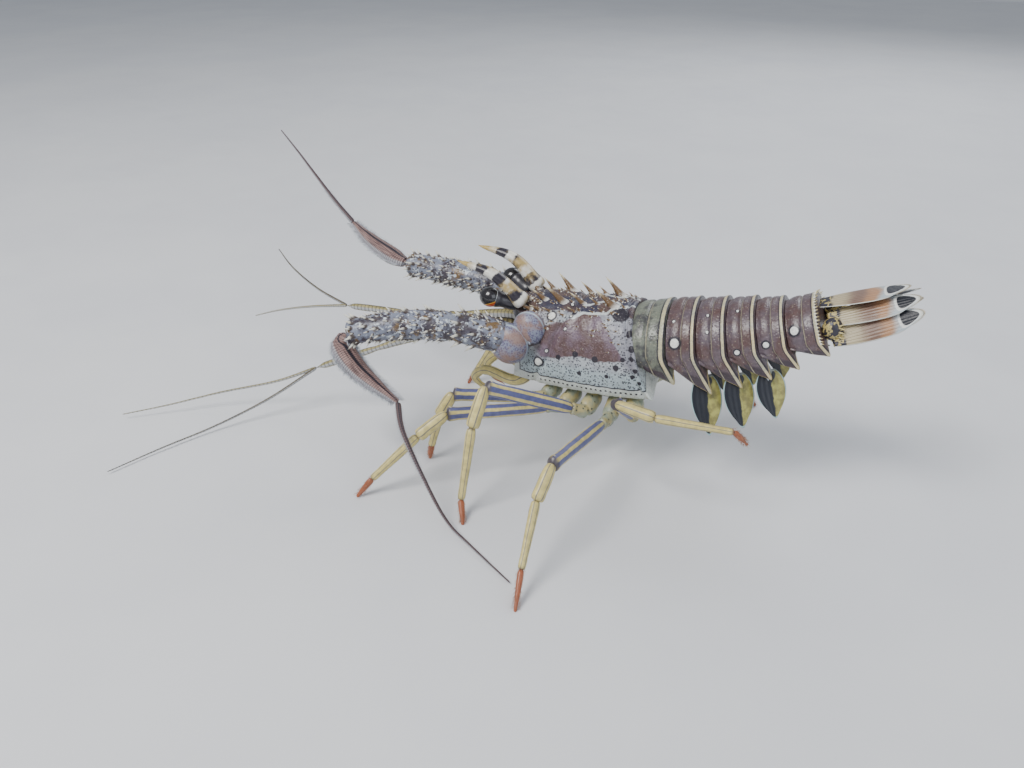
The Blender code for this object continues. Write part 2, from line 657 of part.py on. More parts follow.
def make_fan(frame):
    """Telson on top and the paired blades of each side folded under it."""
    pieces = [fan_blade("telson", frame, TELSON_MM, 1, 4)]
    for name, sign in (("left", -1), ("right", 1)):
        inner = fan_blade("uropod_" + name, frame, INNER_BLADE_MM, sign, 3)
        outer = fan_blade("outer_" + name, frame, OUTER_BLADE_MM, sign, 3)
        along, side, up = KNOB_MM
        middle = frame["start"] + (frame["along"] * along + frame["side"] * side * sign + frame["up"] * up) * MM
        knob = ball("knob_" + name, middle, (5.5 * MM, 5.2 * MM, 6.4 * MM), 8, 6)
        fuse(inner, [outer, knob], "MANIFOLD")
        pieces.append(inner)
    return pieces


def ball(name, centre, radii, segments=10, rings=7):
    """An oval body."""
    bm = bmesh.new()
    bmesh.ops.create_uvsphere(bm, u_segments=segments, v_segments=rings, radius=1.0)
    bmesh.ops.scale(bm, vec=Vector(radii), verts=bm.verts)
    bmesh.ops.translate(bm, vec=centre, verts=bm.verts)
    return add_object(name, bm)


def make_swimmerets(frames):
    """Leaf-shaped swimmerets under segments two to five, a pair each; the last pair lies back flat."""
    pieces = []
    for index in range(1, 5):
        frame = frames[index]
        laid = index == 4
        for name, sign in (("left", -1), ("right", 1)):
            side = frame["side"] * sign
            if laid:
                along = (frame["along"] - frame["up"] * 0.10).normalized()
                across = frame["side"]
                offset = frame["along"] * 5.0 - frame["up"] * 5.0
            else:
                along = (-frame["up"] + side * 0.26 + frame["along"] * 0.05).normalized()
                across = frame["along"] - side * 0.45
                across = (across - along * across.dot(along)).normalized()
                offset = frame["along"] * 7.0 + side * 2.0 - frame["up"] * 11.5
            root = (frame["start"] + frame["along"] * frame["length"] * 0.75
                    + side * frame["half"] * SWIMMERET_SPREADS[index - 1]
                    + frame["up"] * (BELLY_LEVEL * frame["height"] + 2.0 * MM))
            top = root + offset * MM
            leaf = blade("swimmeret_%d_%s" % (index + 1, name), top, along, across, along.cross(across),
                         SWIMMERET_LENGTHS[index - 1], SWIMMERET_HALVES[index - 1],
                         lambda share, v: 0.9 * MM * share * share, rays=1, stations=LEAF_STATIONS)
            stem_path = [root, root.lerp(top, 0.6), top, top + along * 4 * MM]
            stem = loft("stem", tube_rings(stem_path, [3.2 * MM, 2.9 * MM, 2.4 * MM, 1.4 * MM], 6, across, 0.8))
            fuse(leaf, [stem], "MANIFOLD")
            pieces.append(leaf)
    return pieces


def make_leg(name, points_mm):
    """One walking leg in two pieces that meet at the knee."""
    root, coxa, knee, wrist, hand, foot = [Vector(point) * MM for point in points_mm]
    plane = (knee - root).cross(foot - knee).normalized()
    thigh = (knee - coxa)
    upper_path = [root, root.lerp(coxa, 0.55), coxa, coxa + thigh * 0.10, coxa + thigh * 0.2,
                  coxa + thigh * 0.55, coxa + thigh * 0.86, coxa + thigh * 0.96, knee]
    upper_radii = [COXA_RADIUS * 0.8, COXA_RADIUS, COXA_RADIUS * 0.86, MERUS_RADIUS * 0.78, MERUS_RADIUS * 0.92,
                   MERUS_RADIUS, MERUS_RADIUS * 0.95, MERUS_RADIUS * 1.05, MERUS_RADIUS * 0.7]
    upper = loft("leg_%s_upper" % name, tube_rings(upper_path, upper_radii, 8, plane, 0.8))
    forward = thigh.normalized()
    rise = (UP - forward * forward.z).normalized()
    knee_spine = spine(coxa + thigh * 0.94 + rise * MERUS_RADIUS * 0.9, rise + forward * 1.4, KNEE_SPINE,
                       KNEE_SPINE * 0.25)
    fuse(upper, [knee_spine])

    shin = wrist - knee
    lead = knee - shin.normalized() * 1.5 * MM
    palm = hand - wrist
    lower_path = [lead, knee + shin * 0.10, knee + shin * 0.45, knee + shin * 0.88, wrist + palm * 0.06,
                  wrist + palm * 0.3, wrist + palm * 0.8, hand, hand.lerp(foot, 0.5)]
    lower_radii = [MERUS_RADIUS * 0.55, MERUS_RADIUS * 0.85, MERUS_RADIUS * 0.92, MERUS_RADIUS * 0.8,
                   MERUS_RADIUS * 0.62, MERUS_RADIUS * 0.66, MERUS_RADIUS * 0.52, MERUS_RADIUS * 0.44,
                   MERUS_RADIUS * 0.40]
    rings = tube_rings(lower_path + [foot], lower_radii, 8, plane, 0.85)
    rings.append(foot_ring(foot, rings[-1], name != RAISED_LEG))
    lower = loft("leg_%s_lower" % name, rings)
    return upper, lower


def foot_ring(foot, ring_before, on_floor):
    """The last ring of a leg: flat on the floor, or a small claw tip where it is raised."""
    middle = sum(ring_before, Vector()) / len(ring_before)
    radius = FOOT_RADIUS if on_floor else 0.4 * MM
    ring = []
    for point in ring_before:
        spoke = point - middle
        if on_floor:
            spoke.z = 0
        ring.append(foot + spoke.normalized() * radius)
    return ring


def horn(name, sign):
    """A supraorbital horn that curves forwards and up over the eye."""
    path = bent_path([(x, y * sign, z) for x, y, z in HORN_MM], 3)
    radii = [6.0, 5.4, 4.6, 3.9, 3.1, 1.9, 0.5]
    return loft(name, tube_rings(path, [radius * MM for radius in radii], 9, UP, 0.8))


def make_eye(name, sign):
    """Eyeball on its short stalk under the horn."""
    centre = Vector((EYE_MM[0], EYE_MM[1] * sign, EYE_MM[2])) * MM
    eyeball = ball(name, centre, (6.8 * MM, 6.2 * MM, 6.2 * MM), 10, 8)
    stem_path = [centre + Vector((16, -sign * 7, -5)) * MM, centre + Vector((8, -sign * 3.5, -2.5)) * MM, centre]
    stem = loft("stem", tube_rings(stem_path, [4.2 * MM, 4.4 * MM, 4.0 * MM], 9, UP))
    fuse(eyeball, [stem])
    return eyeball


def stalk_paths(side):
    """Path and radii of the two lengths of an antenna's stalk."""
    stalk = [Vector(point) * MM for point in STALK_MM[side]]
    radii = [radius * MM for radius in STALK_RADII_MM]
    inner_path = [stalk[0], stalk[0].lerp(stalk[1], 0.5), stalk[1], stalk[1].lerp(stalk[2], 0.5),
                  stalk[1].lerp(stalk[2], 0.92), stalk[2]]
    inner_radii = [radii[0], 10.8 * MM, radii[1], 10.2 * MM, 10.4 * MM, 8.6 * MM]
    outer_start = stalk[2] + (stalk[3] - stalk[2]).normalized() * GAP
    outer_path = [outer_start, stalk[2].lerp(stalk[3], 0.18), stalk[3], stalk[3].lerp(stalk[4], 0.6),
                  stalk[3].lerp(stalk[4], 0.92), stalk[4]]
    outer_radii = [8.4 * MM, radii[2], radii[3], 8.4 * MM, radii[4], 5.6 * MM]
    return inner_path, inner_radii, outer_path, outer_radii


def make_antenna(side):
    """Spiny stalk in two pieces, the thick base of the whip and the whip."""
    inner_path, inner_radii, outer_path, outer_radii = stalk_paths(side)
    inner = loft("antenna_%s_base" % side, tube_rings(inner_path, inner_radii, 12, UP, STALK_FLATTEN))
    lean = -1 if side == "left" else 1
    bosses = [ball("boss", Vector((x, y * lean, z)) * MM, (size * MM, size * MM, size * MM), 10, 7)
              for x, y, z, size in BOSSES_MM]
    fuse(inner, bosses)
    outer = loft("antenna_%s_stalk" % side, tube_rings(outer_path, outer_radii, 12, UP, STALK_FLATTEN))

    fold_path = bent_path(WHIP_BASE_MM[side], 3)
    fold_radii = [blend(i / (len(fold_path) - 1), WHIP_BASE_RADII) * MM for i in range(len(fold_path))]
    fold = loft("antenna_%s_whip_base" % side, tube_rings(fold_path, fold_radii, 10, UP, 0.7))
    whip = make_whip("antenna_%s_whip" % side, WHIP_MM[side], 1.9, 0.45, 3)
    return inner, outer, fold, whip


def make_whip(name, points_mm, thick_mm, thin_mm, steps):
    """A tapering whip: a curve with a bevel, made a mesh."""
    path = bent_path(points_mm, steps)
    curve = bpy.data.curves.new(name, "CURVE")
    curve.dimensions = "3D"
    curve.bevel_depth = MM
    curve.bevel_resolution = 1
    curve.use_fill_caps = True
    spline = curve.splines.new("POLY")
    spline.points.add(len(path) - 1)
    for index, point in enumerate(path):
        share = index / (len(path) - 1)
        spline.points[index].co = (*point, 1)
        spline.points[index].radius = thick_mm + (thin_mm - thick_mm) * share ** 0.8
    rail = bpy.data.objects.new(name + "_rail", curve)
    part_collection.objects.link(rail)
    bpy.context.view_layer.update()
    graph = bpy.context.evaluated_depsgraph_get()
    mesh = bpy.data.meshes.new_from_object(rail.evaluated_get(graph))
    bm = bmesh.new()
    bm.from_mesh(mesh)
    bmesh.ops.remove_doubles(bm, verts=bm.verts, dist=0.00001)
    bm.to_mesh(mesh)
    bm.free()
    mesh.name = name
    bpy.data.objects.remove(rail, do_unlink=True)
    whip = bpy.data.objects.new(name, mesh)
    part_collection.objects.link(whip)
    return whip


def make_feeler(side):
    """Antennule stalk and its two whips."""
    path = bent_path(FEELER_STALK_MM[side], 3)
    count = len(path)
    radii = [blend(i / (count - 1), [(0, 3.4), (0.35, 2.6), (0.8, 1.9), (0.95, 2.2), (1, 1.7)]) * MM
             for i in range(count)]
    stalk = loft("feeler_%s_stalk" % side, tube_rings(path, radii, 8, UP))
    outer = make_whip("feeler_%s_outer" % side, FEELER_WHIPS_MM[side + "_outer"], 1.1, 0.4, 3)
    inner = make_whip("feeler_%s_inner" % side, FEELER_WHIPS_MM[side + "_inner"], 1.1, 0.4, 3)
    return stalk, outer, inner


def make_maxilliped(side, sign):
    """The leg-like outer mouthpart, folded down and forwards under the head."""
    points = [(-31, sign * 8, 44), (-42, sign * 10.5, 38), (-60, sign * 12, 42), (-70, sign * 10, 34),
              (-64, sign * 8, 26), (-56, sign * 7, 22)]
    path = bent_path(points, 2)
    count = len(path)
    radii = [blend(i / (count - 1), [(0, 4.0), (0.4, 3.6), (0.8, 2.4), (1, 1.2)]) * MM for i in range(count)]
    return loft("maxilliped_%s" % side, tube_rings(path, radii, 8, Vector((0, 1, 0)), 0.8))


def main():
    global part_collection
    clear_scene()
    part_collection = new_collection("spiny_lobster")
    root = bpy.data.objects.new("spiny_lobster_origin", None)
    part_collection.objects.link(root)

    carapace = make_carapace()
    sternum = make_sternum()
    cut_clear(sternum, [carapace])
    frames = segment_frames()
    abdomen = make_abdomen(frames)
    cut_clear(abdomen[0], [carapace, sternum], "MANIFOLD")
    fan = make_fan(frames[6])
    for piece in fan:
        cut_clear(piece, [abdomen[5]], "MANIFOLD")
    swimmerets = make_swimmerets(frames)
    for index, piece in enumerate(swimmerets):
        own = 1 + index // 2
        cut_clear(piece, abdomen[own - 1:own + 2], "MANIFOLD")
    for piece in [carapace, *abdomen[:1]]:
        paint(piece, "shell")
    for piece in abdomen[1:]:
        paint(piece, "band")
    paint(sternum, "under")
    for piece in fan:
        paint(piece, "fan")
    for piece in swimmerets:
        paint(piece, "swimmeret")

    for side, sign in (("left", -1), ("right", 1)):
        horn_piece = horn("horn_" + side, sign)
        cut_clear(horn_piece, [carapace], gap=SOCKET_GAP)
        base, stalk, fold, whip = make_antenna(side)
        cut_clear(base, [carapace, sternum])
        cut_clear(stalk, [base])
        cut_clear(fold, [stalk])
        cut_clear(whip, [fold])
        eye = make_eye("eye_" + side, sign)
        cut_clear(eye, [carapace, base, horn_piece], gap=SOCKET_GAP)
        feeler, outer, inner = make_feeler(side)
        cut_clear(feeler, [carapace, base, stalk, eye])
        cut_clear(outer, [feeler])
        cut_clear(inner, [feeler, outer])
        mouthpart = make_maxilliped(side, sign)
        cut_clear(mouthpart, [carapace, sternum, base])
        inner_path, inner_radii, outer_path, outer_radii = stalk_paths(side)
        fuse_spines(base, lambda: tube_spines(inner_path, inner_radii, BASE_SPINES))
        fuse_spines(stalk, lambda: tube_spines(outer_path, outer_radii, STALK_SPINES))
        paint(horn_piece, "horn")
        paint(eye, "eye", 0.12)
        for piece in (base, stalk):
            paint(piece, "stalk")
        for piece in (fold, whip):
            paint(piece, "whip")
        for piece in (feeler, outer, inner):
            paint(piece, "feeler")
        paint(mouthpart, "leg")

    for name, points in LEGS_MM.items():
        upper, lower = make_leg(name, points)
        cut_clear(upper, [carapace, sternum])
        cut_clear(lower, [upper])
        paint(upper, "leg")
        paint(lower, "leg")

    fuse_spines(carapace, carapace_spines)
    for piece in part_collection.objects:
        if piece.type == "MESH":
            piece.parent = root
    root.location = CENTRE_SHIFT


main()
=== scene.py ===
import math
import random

import bmesh
import bpy
from bpy.props import FloatProperty, FloatVectorProperty, IntProperty, PointerProperty
from mathutils import Matrix, Vector, noise
from mathutils.kdtree import KDTree


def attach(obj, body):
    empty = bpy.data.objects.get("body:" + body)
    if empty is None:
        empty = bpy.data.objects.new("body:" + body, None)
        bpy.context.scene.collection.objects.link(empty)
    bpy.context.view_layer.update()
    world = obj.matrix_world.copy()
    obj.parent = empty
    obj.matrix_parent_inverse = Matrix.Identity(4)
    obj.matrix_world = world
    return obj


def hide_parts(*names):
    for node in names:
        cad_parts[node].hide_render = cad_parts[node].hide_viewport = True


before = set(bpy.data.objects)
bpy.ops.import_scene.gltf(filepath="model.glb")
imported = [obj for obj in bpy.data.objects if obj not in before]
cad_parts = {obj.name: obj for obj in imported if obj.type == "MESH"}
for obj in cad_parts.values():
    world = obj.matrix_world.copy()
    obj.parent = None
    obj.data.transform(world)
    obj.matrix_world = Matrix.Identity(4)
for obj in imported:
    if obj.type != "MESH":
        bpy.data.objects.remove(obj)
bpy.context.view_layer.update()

bl_info = {
    "name": "Spiny lobster",
    "version": (1, 0, 0),
    "blender": (4, 5, 0),
    "location": "3D View > Sidebar > Lobster",
    "description": "A still, life-size spiny lobster standing on its walking legs",
    "category": "Add Mesh",
}

MM = 0.001
ORIGIN = Vector((0.0531, 0.0149, 0))      # the middle of the thorax, over the floor
FORWARD = Vector((-1, 0, 0))
UP = Vector((0, 0, 1))
ANY_TURN = (0, 6.28)             # limits of a random turn
WELD = 0.002 * MM
FAR_AWAY = Vector((9, 9, 9))      # stands in for the spots of a segment that has none

# Thorax, from the carapace length
CL = 92 * MM
THORAX_WIDTH = 0.66 * CL
THORAX_HEIGHT = 0.62 * CL
THORAX_CENTRE = Vector((0, 0, 72 * MM))
THORAX_PITCH = math.radians(4.35)
OUTLINE_WIDTH = [(0, 0.0), (20, 0.36), (45, 0.70), (70, 0.93), (95, 1.0), (120, 0.97), (140, 0.86),
                 (150, 0.74), (165, 0.40), (180, 0.0)]
OUTLINE_HEIGHT = [(0, 1.0), (20, 0.975), (45, 0.86), (70, 0.66), (95, 0.44), (120, 0.24),
                  (140, 0.10), (150, 0.10), (165, 0.13), (180, 0.14)]
FRONT_EDGE = [(0, -0.49), (28, -0.46), (50, -0.30), (72, -0.18), (95, -0.21), (117, -0.34),
              (141, -0.44), (180, -0.42)]
GROOVE_LINE = [(0, 0.02), (42, -0.04), (72, -0.10), (95, -0.14), (117, -0.22), (150, -0.27),
               (180, -0.27)]
REAR_EDGE = [(0, 0.39), (45, 0.42), (72, 0.46), (95, 0.485), (117, 0.52), (141, 0.565), (180, 0.54)]
WIDTH_ALONG = [(-0.50, 0.60), (-0.35, 0.76), (-0.20, 0.87), (0.0, 0.96), (0.2, 1.0), (0.4, 0.98),
               (0.52, 0.92)]
HEIGHT_ALONG = [(-0.50, 0.90), (-0.30, 0.985), (-0.12, 1.0), (0.0, 0.985), (0.2, 1.0), (0.38, 0.98),
                (0.52, 0.915)]

# Abdomen
SEGMENT_LENGTHS = [0.130, 0.188, 0.184, 0.179, 0.169, 0.193]
SEGMENT_WIDTHS = [0.98, 1.0, 0.97, 0.92, 0.87, 0.80]
SEGMENT_HEIGHTS = [0.92, 1.0, 0.98, 0.94, 0.87, 0.74]
ABDOMEN_WIDTH = 0.59 * CL
ABDOMEN_HEIGHT = 0.4585 * CL
ARCH_SHARE = 0.58
ABDOMEN_START = (0.50, 0.60)
FIRST_YAW, NEXT_YAW = math.radians(3.06), math.radians(0.16)
FIRST_PITCH, NEXT_PITCH = math.radians(3.6), math.radians(2.63)
FAN_LENGTH = 0.567 * CL
LOBE_DEPTHS = [0.85, 1.12, 1.02, 0.92, 0.84, 0.62]
LOBE_RAKE = 0.35
LOBE_WALL = 0.14
BELLY_LEVEL = -0.10
FIRST_SEGMENT_REACH = 2.0

# Limbs, in millimetres from the middle of the thorax
LEGS_MM = {
    "left_1": [(-10, -11, 42), (-15, -24, 39), (-63, -55, 46), (-70, -60, 32), (-75, -63, 10),
               (-76.6, -63.2, 0)],
    "left_2": [(3, -12, 42), (-1, -28, 38), (-57, -75, 44.5), (-69, -89, 34), (-90, -109, 10.5),
               (-96.8, -116.4, 0)],
    "left_3": [(16, -13, 43), (14, -30, 39), (-31, -75, 69), (-32.5, -90, 50), (-33.5, -104, 9),
               (-27.4, -113.9, 0)],
    "left_4": [(29, -14, 44), (30, -32, 39), (22, -105, 50), (20, -121, 37), (23, -147, 13),
               (27, -163.8, 0)],
    "left_5": [(41, -14, 46), (44, -30, 43), (40, -51, 62), (63, -55, 61), (106, -50, 60.5),
               (113, -45, 51)],
    "right_1": [(-10, 11, 42), (-16, 24, 40), (-64, 46, 52), (-77, 44, 38), (-92, 37, 10),
                (-97, 32, 0)],
    "right_2": [(3, 12, 42), (0, 28, 40), (-40, 64, 61), (-52, 76, 45), (-72, 97, 10),
                (-78, 104, 0)],
    "right_3": [(16, 13, 43), (15, 30, 41), (-4, 73, 63), (-9, 88, 47), (-14, 116, 11),
                (-16, 126, 0)],
    "right_4": [(29, 14, 44), (30, 32, 42), (34, 76, 64), (37, 92, 49), (40, 122, 12),
                (42, 134, 0)],
    "right_5": [(41, 14, 46), (46, 31, 44), (64, 56, 66), (73, 64, 50), (94, 79, 12), (101, 86, 0)],
}
COXA_RADIUS_MM = 5.6
MERUS_RADIUS_MM = 4.3
MOUTHPART_MM = [(-31, 8, 44), (-42, 10.5, 38), (-60, 12, 42), (-70, 10, 34), (-64, 8, 26),
                (-56, 7, 22)]
MOUTHPART_RADII = [(0, 0.3), (0.04, 4.0), (0.2, 3.9), (0.52, 3.4), (0.56, 2.7), (0.6, 3.2),
                   (0.75, 2.5), (0.8, 1.9), (0.85, 2.3), (1, 0.2)]
STALK_MM = {
    "left": [(-14, -20, 80), (-36, -28, 78), (-70, -39, 83.5), (-101, -52, 84), (-130, -65, 79)],
    "right": [(-14, 20, 80), (-36, 27, 79), (-70, 28, 85), (-104, 27, 88), (-138, 25, 90)],
}
BOSSES_MM = [(-26, 23, 84, 10.0), (-36, 29.5, 74.5, 12.0)]
WHIP_BASE_MM = {
    "left": [(-130, -65, 79), (-130, -69, 71), (-115, -75, 60), (-84, -84, 51)],
    "right": [(-138, 25, 90), (-148, 26, 92), (-170, 33, 98), (-192, 43, 106)],
}
WHIP_MM = {
    "left": [(-84, -84, 51), (-72, -99, 41), (-50, -111, 16), (-33, -121, 5), (-15, -130, 2.3),
             (16.8, -147, 1.2)],
    "right": [(-192, 43, 106), (-215, 55, 116), (-240, 69, 128), (-264, 83, 139), (-290, 98, 150)],
}
FOLD_HAIRS, WHIP_HAIRS, BLADE_HAIRS, FOOT_HAIRS = 300, 60, 70, 240     # bristles of each fringe
WHIP_BASE_RADII = [(0, 4.8), (0.22, 7.2), (0.6, 5.6), (1, 2.1)]
HORN_MM = [(-33, 12.5, 94), (-53, 15, 111), (-78, 14.5, 116)]
HORN_RADII = [(0, 0.4), (0.04, 6.0), (0.2, 5.2), (0.45, 4.4), (0.7, 3.2), (0.9, 1.5), (1, 0.05)]
EYE_MM = (-54.5, 17, 97)
EYE_RADII_MM = (6.8, 6.2, 6.2)
EYE_STEM_RADII = [(0, 0.4), (0.1, 4.2), (0.6, 4.6), (0.9, 5.2), (1, 0.4)]
FEELER_STALK_MM = {
    "left": [(-40, -6, 77), (-62, -10, 74), (-112, -24, 59), (-175, -40, 32)],
    "right": [(-40, 6, 77), (-62, 9, 73), (-112, 6, 64), (-176, 3, 60)],
}
FEELER_RADII = [(0, 0.3), (0.03, 3.3), (0.3, 2.7), (0.36, 2.2), (0.40, 2.7), (0.62, 2.2),
                (0.68, 1.7), (0.72, 2.2), (0.95, 2.1), (1, 0.3)]
FEELER_WHIPS_MM = {
    "left_outer": [(-175, -40, 32), (-200, -63, 14), (-222, -93, 4), (-238, -127, 2.4),
                   (-250, -160, 2)],
    "left_inner": [(-175, -40, 32), (-203, -50, 20), (-238, -67, 12), (-266, -89, 7),
                   (-290, -108, 4)],
    "right_outer": [(-176, 3, 60), (-205, 10, 65), (-235, 23, 71), (-262, 42, 75)],
    "right_inner": [(-176, 3, 60), (-205, 0, 55), (-235, 1, 46), (-263, 6, 34)],
}


class LobsterSizes(bpy.types.PropertyGroup):
    """Sizes that a user would change."""
    spine_growth: FloatProperty(
        name="Spine growth", description="Length of the spines as a share of their usual length",
        default=1.0, min=0.2, max=1.5, subtype="FACTOR")
    bristle_length: FloatProperty(
        name="Bristle length", description="Length of the bristles on the feet and the fringes",
        default=0.0035, min=0.0005, max=0.008, unit="LENGTH")
    relief: FloatProperty(
        name="Shell relief", description="Height of the small swellings of the shell",
        default=0.0005, min=0.0, max=0.002, unit="LENGTH")
    scatter: IntProperty(
        name="Scatter", description="Seed of the small irregularities", default=7, min=0)
    floor_width: FloatProperty(name="Floor width", description="Width of the pale floor",
                               default=6.0, min=1.0, unit="LENGTH")


def tint(name, description, colour):
    return FloatVectorProperty(name=name, description=description, subtype="COLOR", size=4,
                               min=0.0, max=1.0, default=(*colour, 1.0))


class LobsterColours(bpy.types.PropertyGroup):
    """Colours that a user would change."""
    shell_grey: tint("Shell grey", "Lilac grey of the shell", (0.27, 0.27, 0.31))
    shell_brown: tint("Shell brown", "Purple brown of the saddle and the bands",
                      (0.098, 0.055, 0.052))
    shell_dark: tint("Shell dark", "Dark blotches of the shell", (0.022, 0.018, 0.028))
    pale_mark: tint("Pale marks", "Pale lines and spots", (0.72, 0.70, 0.64))
    cream_band: tint("Cream band", "Rear band of each tail segment", (0.62, 0.53, 0.30))
    leg_yellow: tint("Leg yellow", "Yellow of the legs", (0.62, 0.52, 0.20))
    leg_violet: tint("Leg violet", "Violet stripes of the legs", (0.10, 0.11, 0.25))
    stalk_blue: tint("Stalk blue", "Blue grey of the antenna stalks", (0.20, 0.22, 0.29))
    spine_tip: tint("Spine tips", "Pale tips of the spines", (0.74, 0.66, 0.44))
    whip_brown: tint("Whip brown", "Brown of the whips", (0.13, 0.075, 0.07))
    fan_orange: tint("Fan orange", "Orange tinge of the tail fan", (0.44, 0.23, 0.11))
    olive: tint("Olive", "Olive of the swimmerets and the thin feelers", (0.20, 0.18, 0.06))
    bristle: tint("Bristles", "Pale bristles and fringes", (0.60, 0.52, 0.36))
    foot_red: tint("Foot red", "Red brown of the bristly feet", (0.36, 0.11, 0.05))
    floor: tint("Floor", "Pale floor", (0.74, 0.75, 0.77))


def sizes():
    return bpy.context.scene.lobster_sizes


def colour_of(name):
    return tuple(getattr(bpy.context.scene.lobster_colours, name))


def curve(value, table, flat=True):
    """Read a smooth value from a table of (place, value) pairs; flat makes its ends level."""
    slopes = []
    for index in range(len(table)):
        before, after = table[max(index - 1, 0)], table[min(index + 1, len(table) - 1)]
        outer = index in (0, len(table) - 1)
        slopes.append(0.0 if outer and flat else (after[1] - before[1]) / (after[0] - before[0]))
    for (x0, y0), (x1, y1), s0, s1 in zip(table, table[1:], slopes, slopes[1:]):
        if value <= x1:
            span = x1 - x0
            t = max(0.0, (value - x0) / span)
            return (y0 * (1 + 2 * t) * (1 - t) ** 2 + y1 * t * t * (3 - 2 * t)
                    + s0 * span * t * (1 - t) ** 2 - s1 * span * t * t * (1 - t))
    return table[-1][1]


def ease(value):
    value = min(1.0, max(0.0, value))
    return value * value * (3 - 2 * value)


def bump(value, middle, width):
    return math.exp(-((value - middle) / width) ** 2)


def spline(a, b, c, d, t):
    """Read the smooth stretch from b to c, with a before it and d after it."""
    return 0.5 * (2 * b + (c - a) * t + (2 * a - 5 * b + 4 * c - d) * t * t
                  + (3 * b - a - 3 * c + d) * t ** 3)


def axes(direction):
    """A direction made one long, with two more square to it."""
    direction = direction.normalized()
    side = direction.cross(UP if abs(direction.z) < 0.9 else FORWARD).normalized()
    return direction, side, side.cross(direction)


class Line:
    """A smooth line through points given in millimetres, read by the share of its length."""

    def __init__(self, points_mm, smooth=True, steps=12):
        knots = [ORIGIN + Vector(point) * MM for point in points_mm]
        ends = [2 * knots[0] - knots[1]] + knots + [2 * knots[-1] - knots[-2]]
        self.points = []
        for a, b, c, d in zip(ends, ends[1:], ends[2:], ends[3:]):
            for step in range(steps):
                t = step / steps
                self.points.append(spline(a, b, c, d, t) if smooth else b.lerp(c, t))
        self.points.append(knots[-1])
        self.lengths = [0.0]
        for before, after in zip(self.points, self.points[1:]):
            self.lengths.append(self.lengths[-1] + (after - before).length)
        self.length = self.lengths[-1]

    def at(self, share):
        goal = min(max(share, 0.0), 1.0) * self.length
        for index in range(len(self.points) - 1):
            if goal <= self.lengths[index + 1]:
                span = max(self.lengths[index + 1] - self.lengths[index], 1e-9)
                return self.points[index].lerp(self.points[index + 1],
                                               (goal - self.lengths[index]) / span)
        return self.points[-1].copy()

    def across(self, share, reference):
        """Middle, tangent, side and up directions at one share of the line."""
        tangent = (self.at(share + 0.02) - self.at(share - 0.02)).normalized()
        side = tangent.cross(reference).normalized()
        return self.at(share), tangent, side, side.cross(tangent).normalized()


class Form:
    """A mesh being modelled, with a place map and the marks that its finish reads."""

    def __init__(self, *marks):
        self.bm = bmesh.new()
        self.place = self.bm.loops.layers.uv.new("place")
        self.marks = {name: self.bm.verts.layers.float.new(name) for name in ("tip", *marks)}

    def sheet(self, columns, rows, shape, tell=None):
        """Lay a grid over a shape that is given by two shares, and weld its seams and poles."""
        made = bmesh.ops.create_grid(self.bm, x_segments=columns, y_segments=rows, size=1,
                                     calc_uvs=True)["verts"]
        for vert in made:
            u, v = (vert.co.x + 1) / 2, (vert.co.y + 1) / 2
            vert.co = shape(u, v)
            for name, value in (tell(vert.co, u, v) if tell else {}).items():
                vert[self.marks[name]] = value
        bmesh.ops.remove_doubles(self.bm, verts=made, dist=WELD)
        return [vert for vert in made if vert.is_valid]

    def tube(self, line, radius, around=20, along=36, reference=UP, flatten=1.0, tell=None):
        """A skin round a line; the radius is given by the share of the length and the turn."""
        frames = [line.across(row / along, reference) for row in range(along + 1)]

        def shape(u, v):
            middle, _, side, up = frames[round(v * along)]
            turn = 2 * math.pi * u
            reach = radius(v, turn)
            return middle + side * reach * math.cos(turn) + up * reach * flatten * math.sin(turn)

        return self.sheet(around, along, shape, tell)

    def spine(self, root, direction, length, thick=0.19, bend=None, place=(0.0, 0.0), sides=7,
              rows=4):
        """A pointed spine with a spreading foot, bent a little over its length."""
        direction, side, up = axes(direction)
        radius = length * thick
        bend = bend or Vector()

        def shape(u, v):
            turn = -2 * math.pi * u
            reach = radius * (1 - v) ** 0.85 * (1 + 0.35 * (1 - v) ** 6)
            rise = (v * 1.22 - 0.22) * length
            out = side * reach * math.cos(turn) + up * reach * math.sin(turn)
            return root + direction * rise + bend * length * v * v + out

        made = self.sheet(sides, rows, shape, lambda co, u, v: {"tip": max(0.02, v)})
        for face in {face for vert in made for face in vert.link_faces}:
            for loop in face.loops:
                loop[self.place].uv = place

    def bristle(self, root, direction, length, radius=0.00012):
        """A thin three-sided hair."""
        direction, side, up = axes(direction)

        def shape(u, v):
            turn = -2 * math.pi * u
            reach = radius * (1 - v * 0.999)
            return (root + direction * length * v
                    + side * reach * math.cos(turn) + up * reach * math.sin(turn))

        self.sheet(3, 2, shape, lambda co, u, v: {"tip": max(0.02, v)})

    def ball(self, middle, radii, columns=28, rows=18, tell=None):
        """An oval body."""
        def shape(u, v):
            turn, rise = 2 * math.pi * u, math.pi * (v - 0.5)
            return middle + Vector((radii[0] * math.cos(turn) * math.cos(rise),
                                    radii[1] * math.sin(turn) * math.cos(rise),
                                    radii[2] * math.sin(rise)))
        return self.sheet(columns, rows, shape, tell)

    def done(self, name, finish, slot, *nodes):
        """Close the mesh into an object that rides on the body and stands for its nodes."""
        bmesh.ops.recalc_face_normals(self.bm, faces=self.bm.faces)
        mesh = bpy.data.meshes.new(name)
        self.bm.to_mesh(mesh)
        self.bm.free()
        mesh.shade_smooth()
        mesh.materials.append(finish)
        piece = bpy.data.objects.new(name, mesh)
        bpy.context.scene.collection.objects.link(piece)
        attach(piece, "root")
        if nodes:
            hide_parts(*nodes)
        return piece


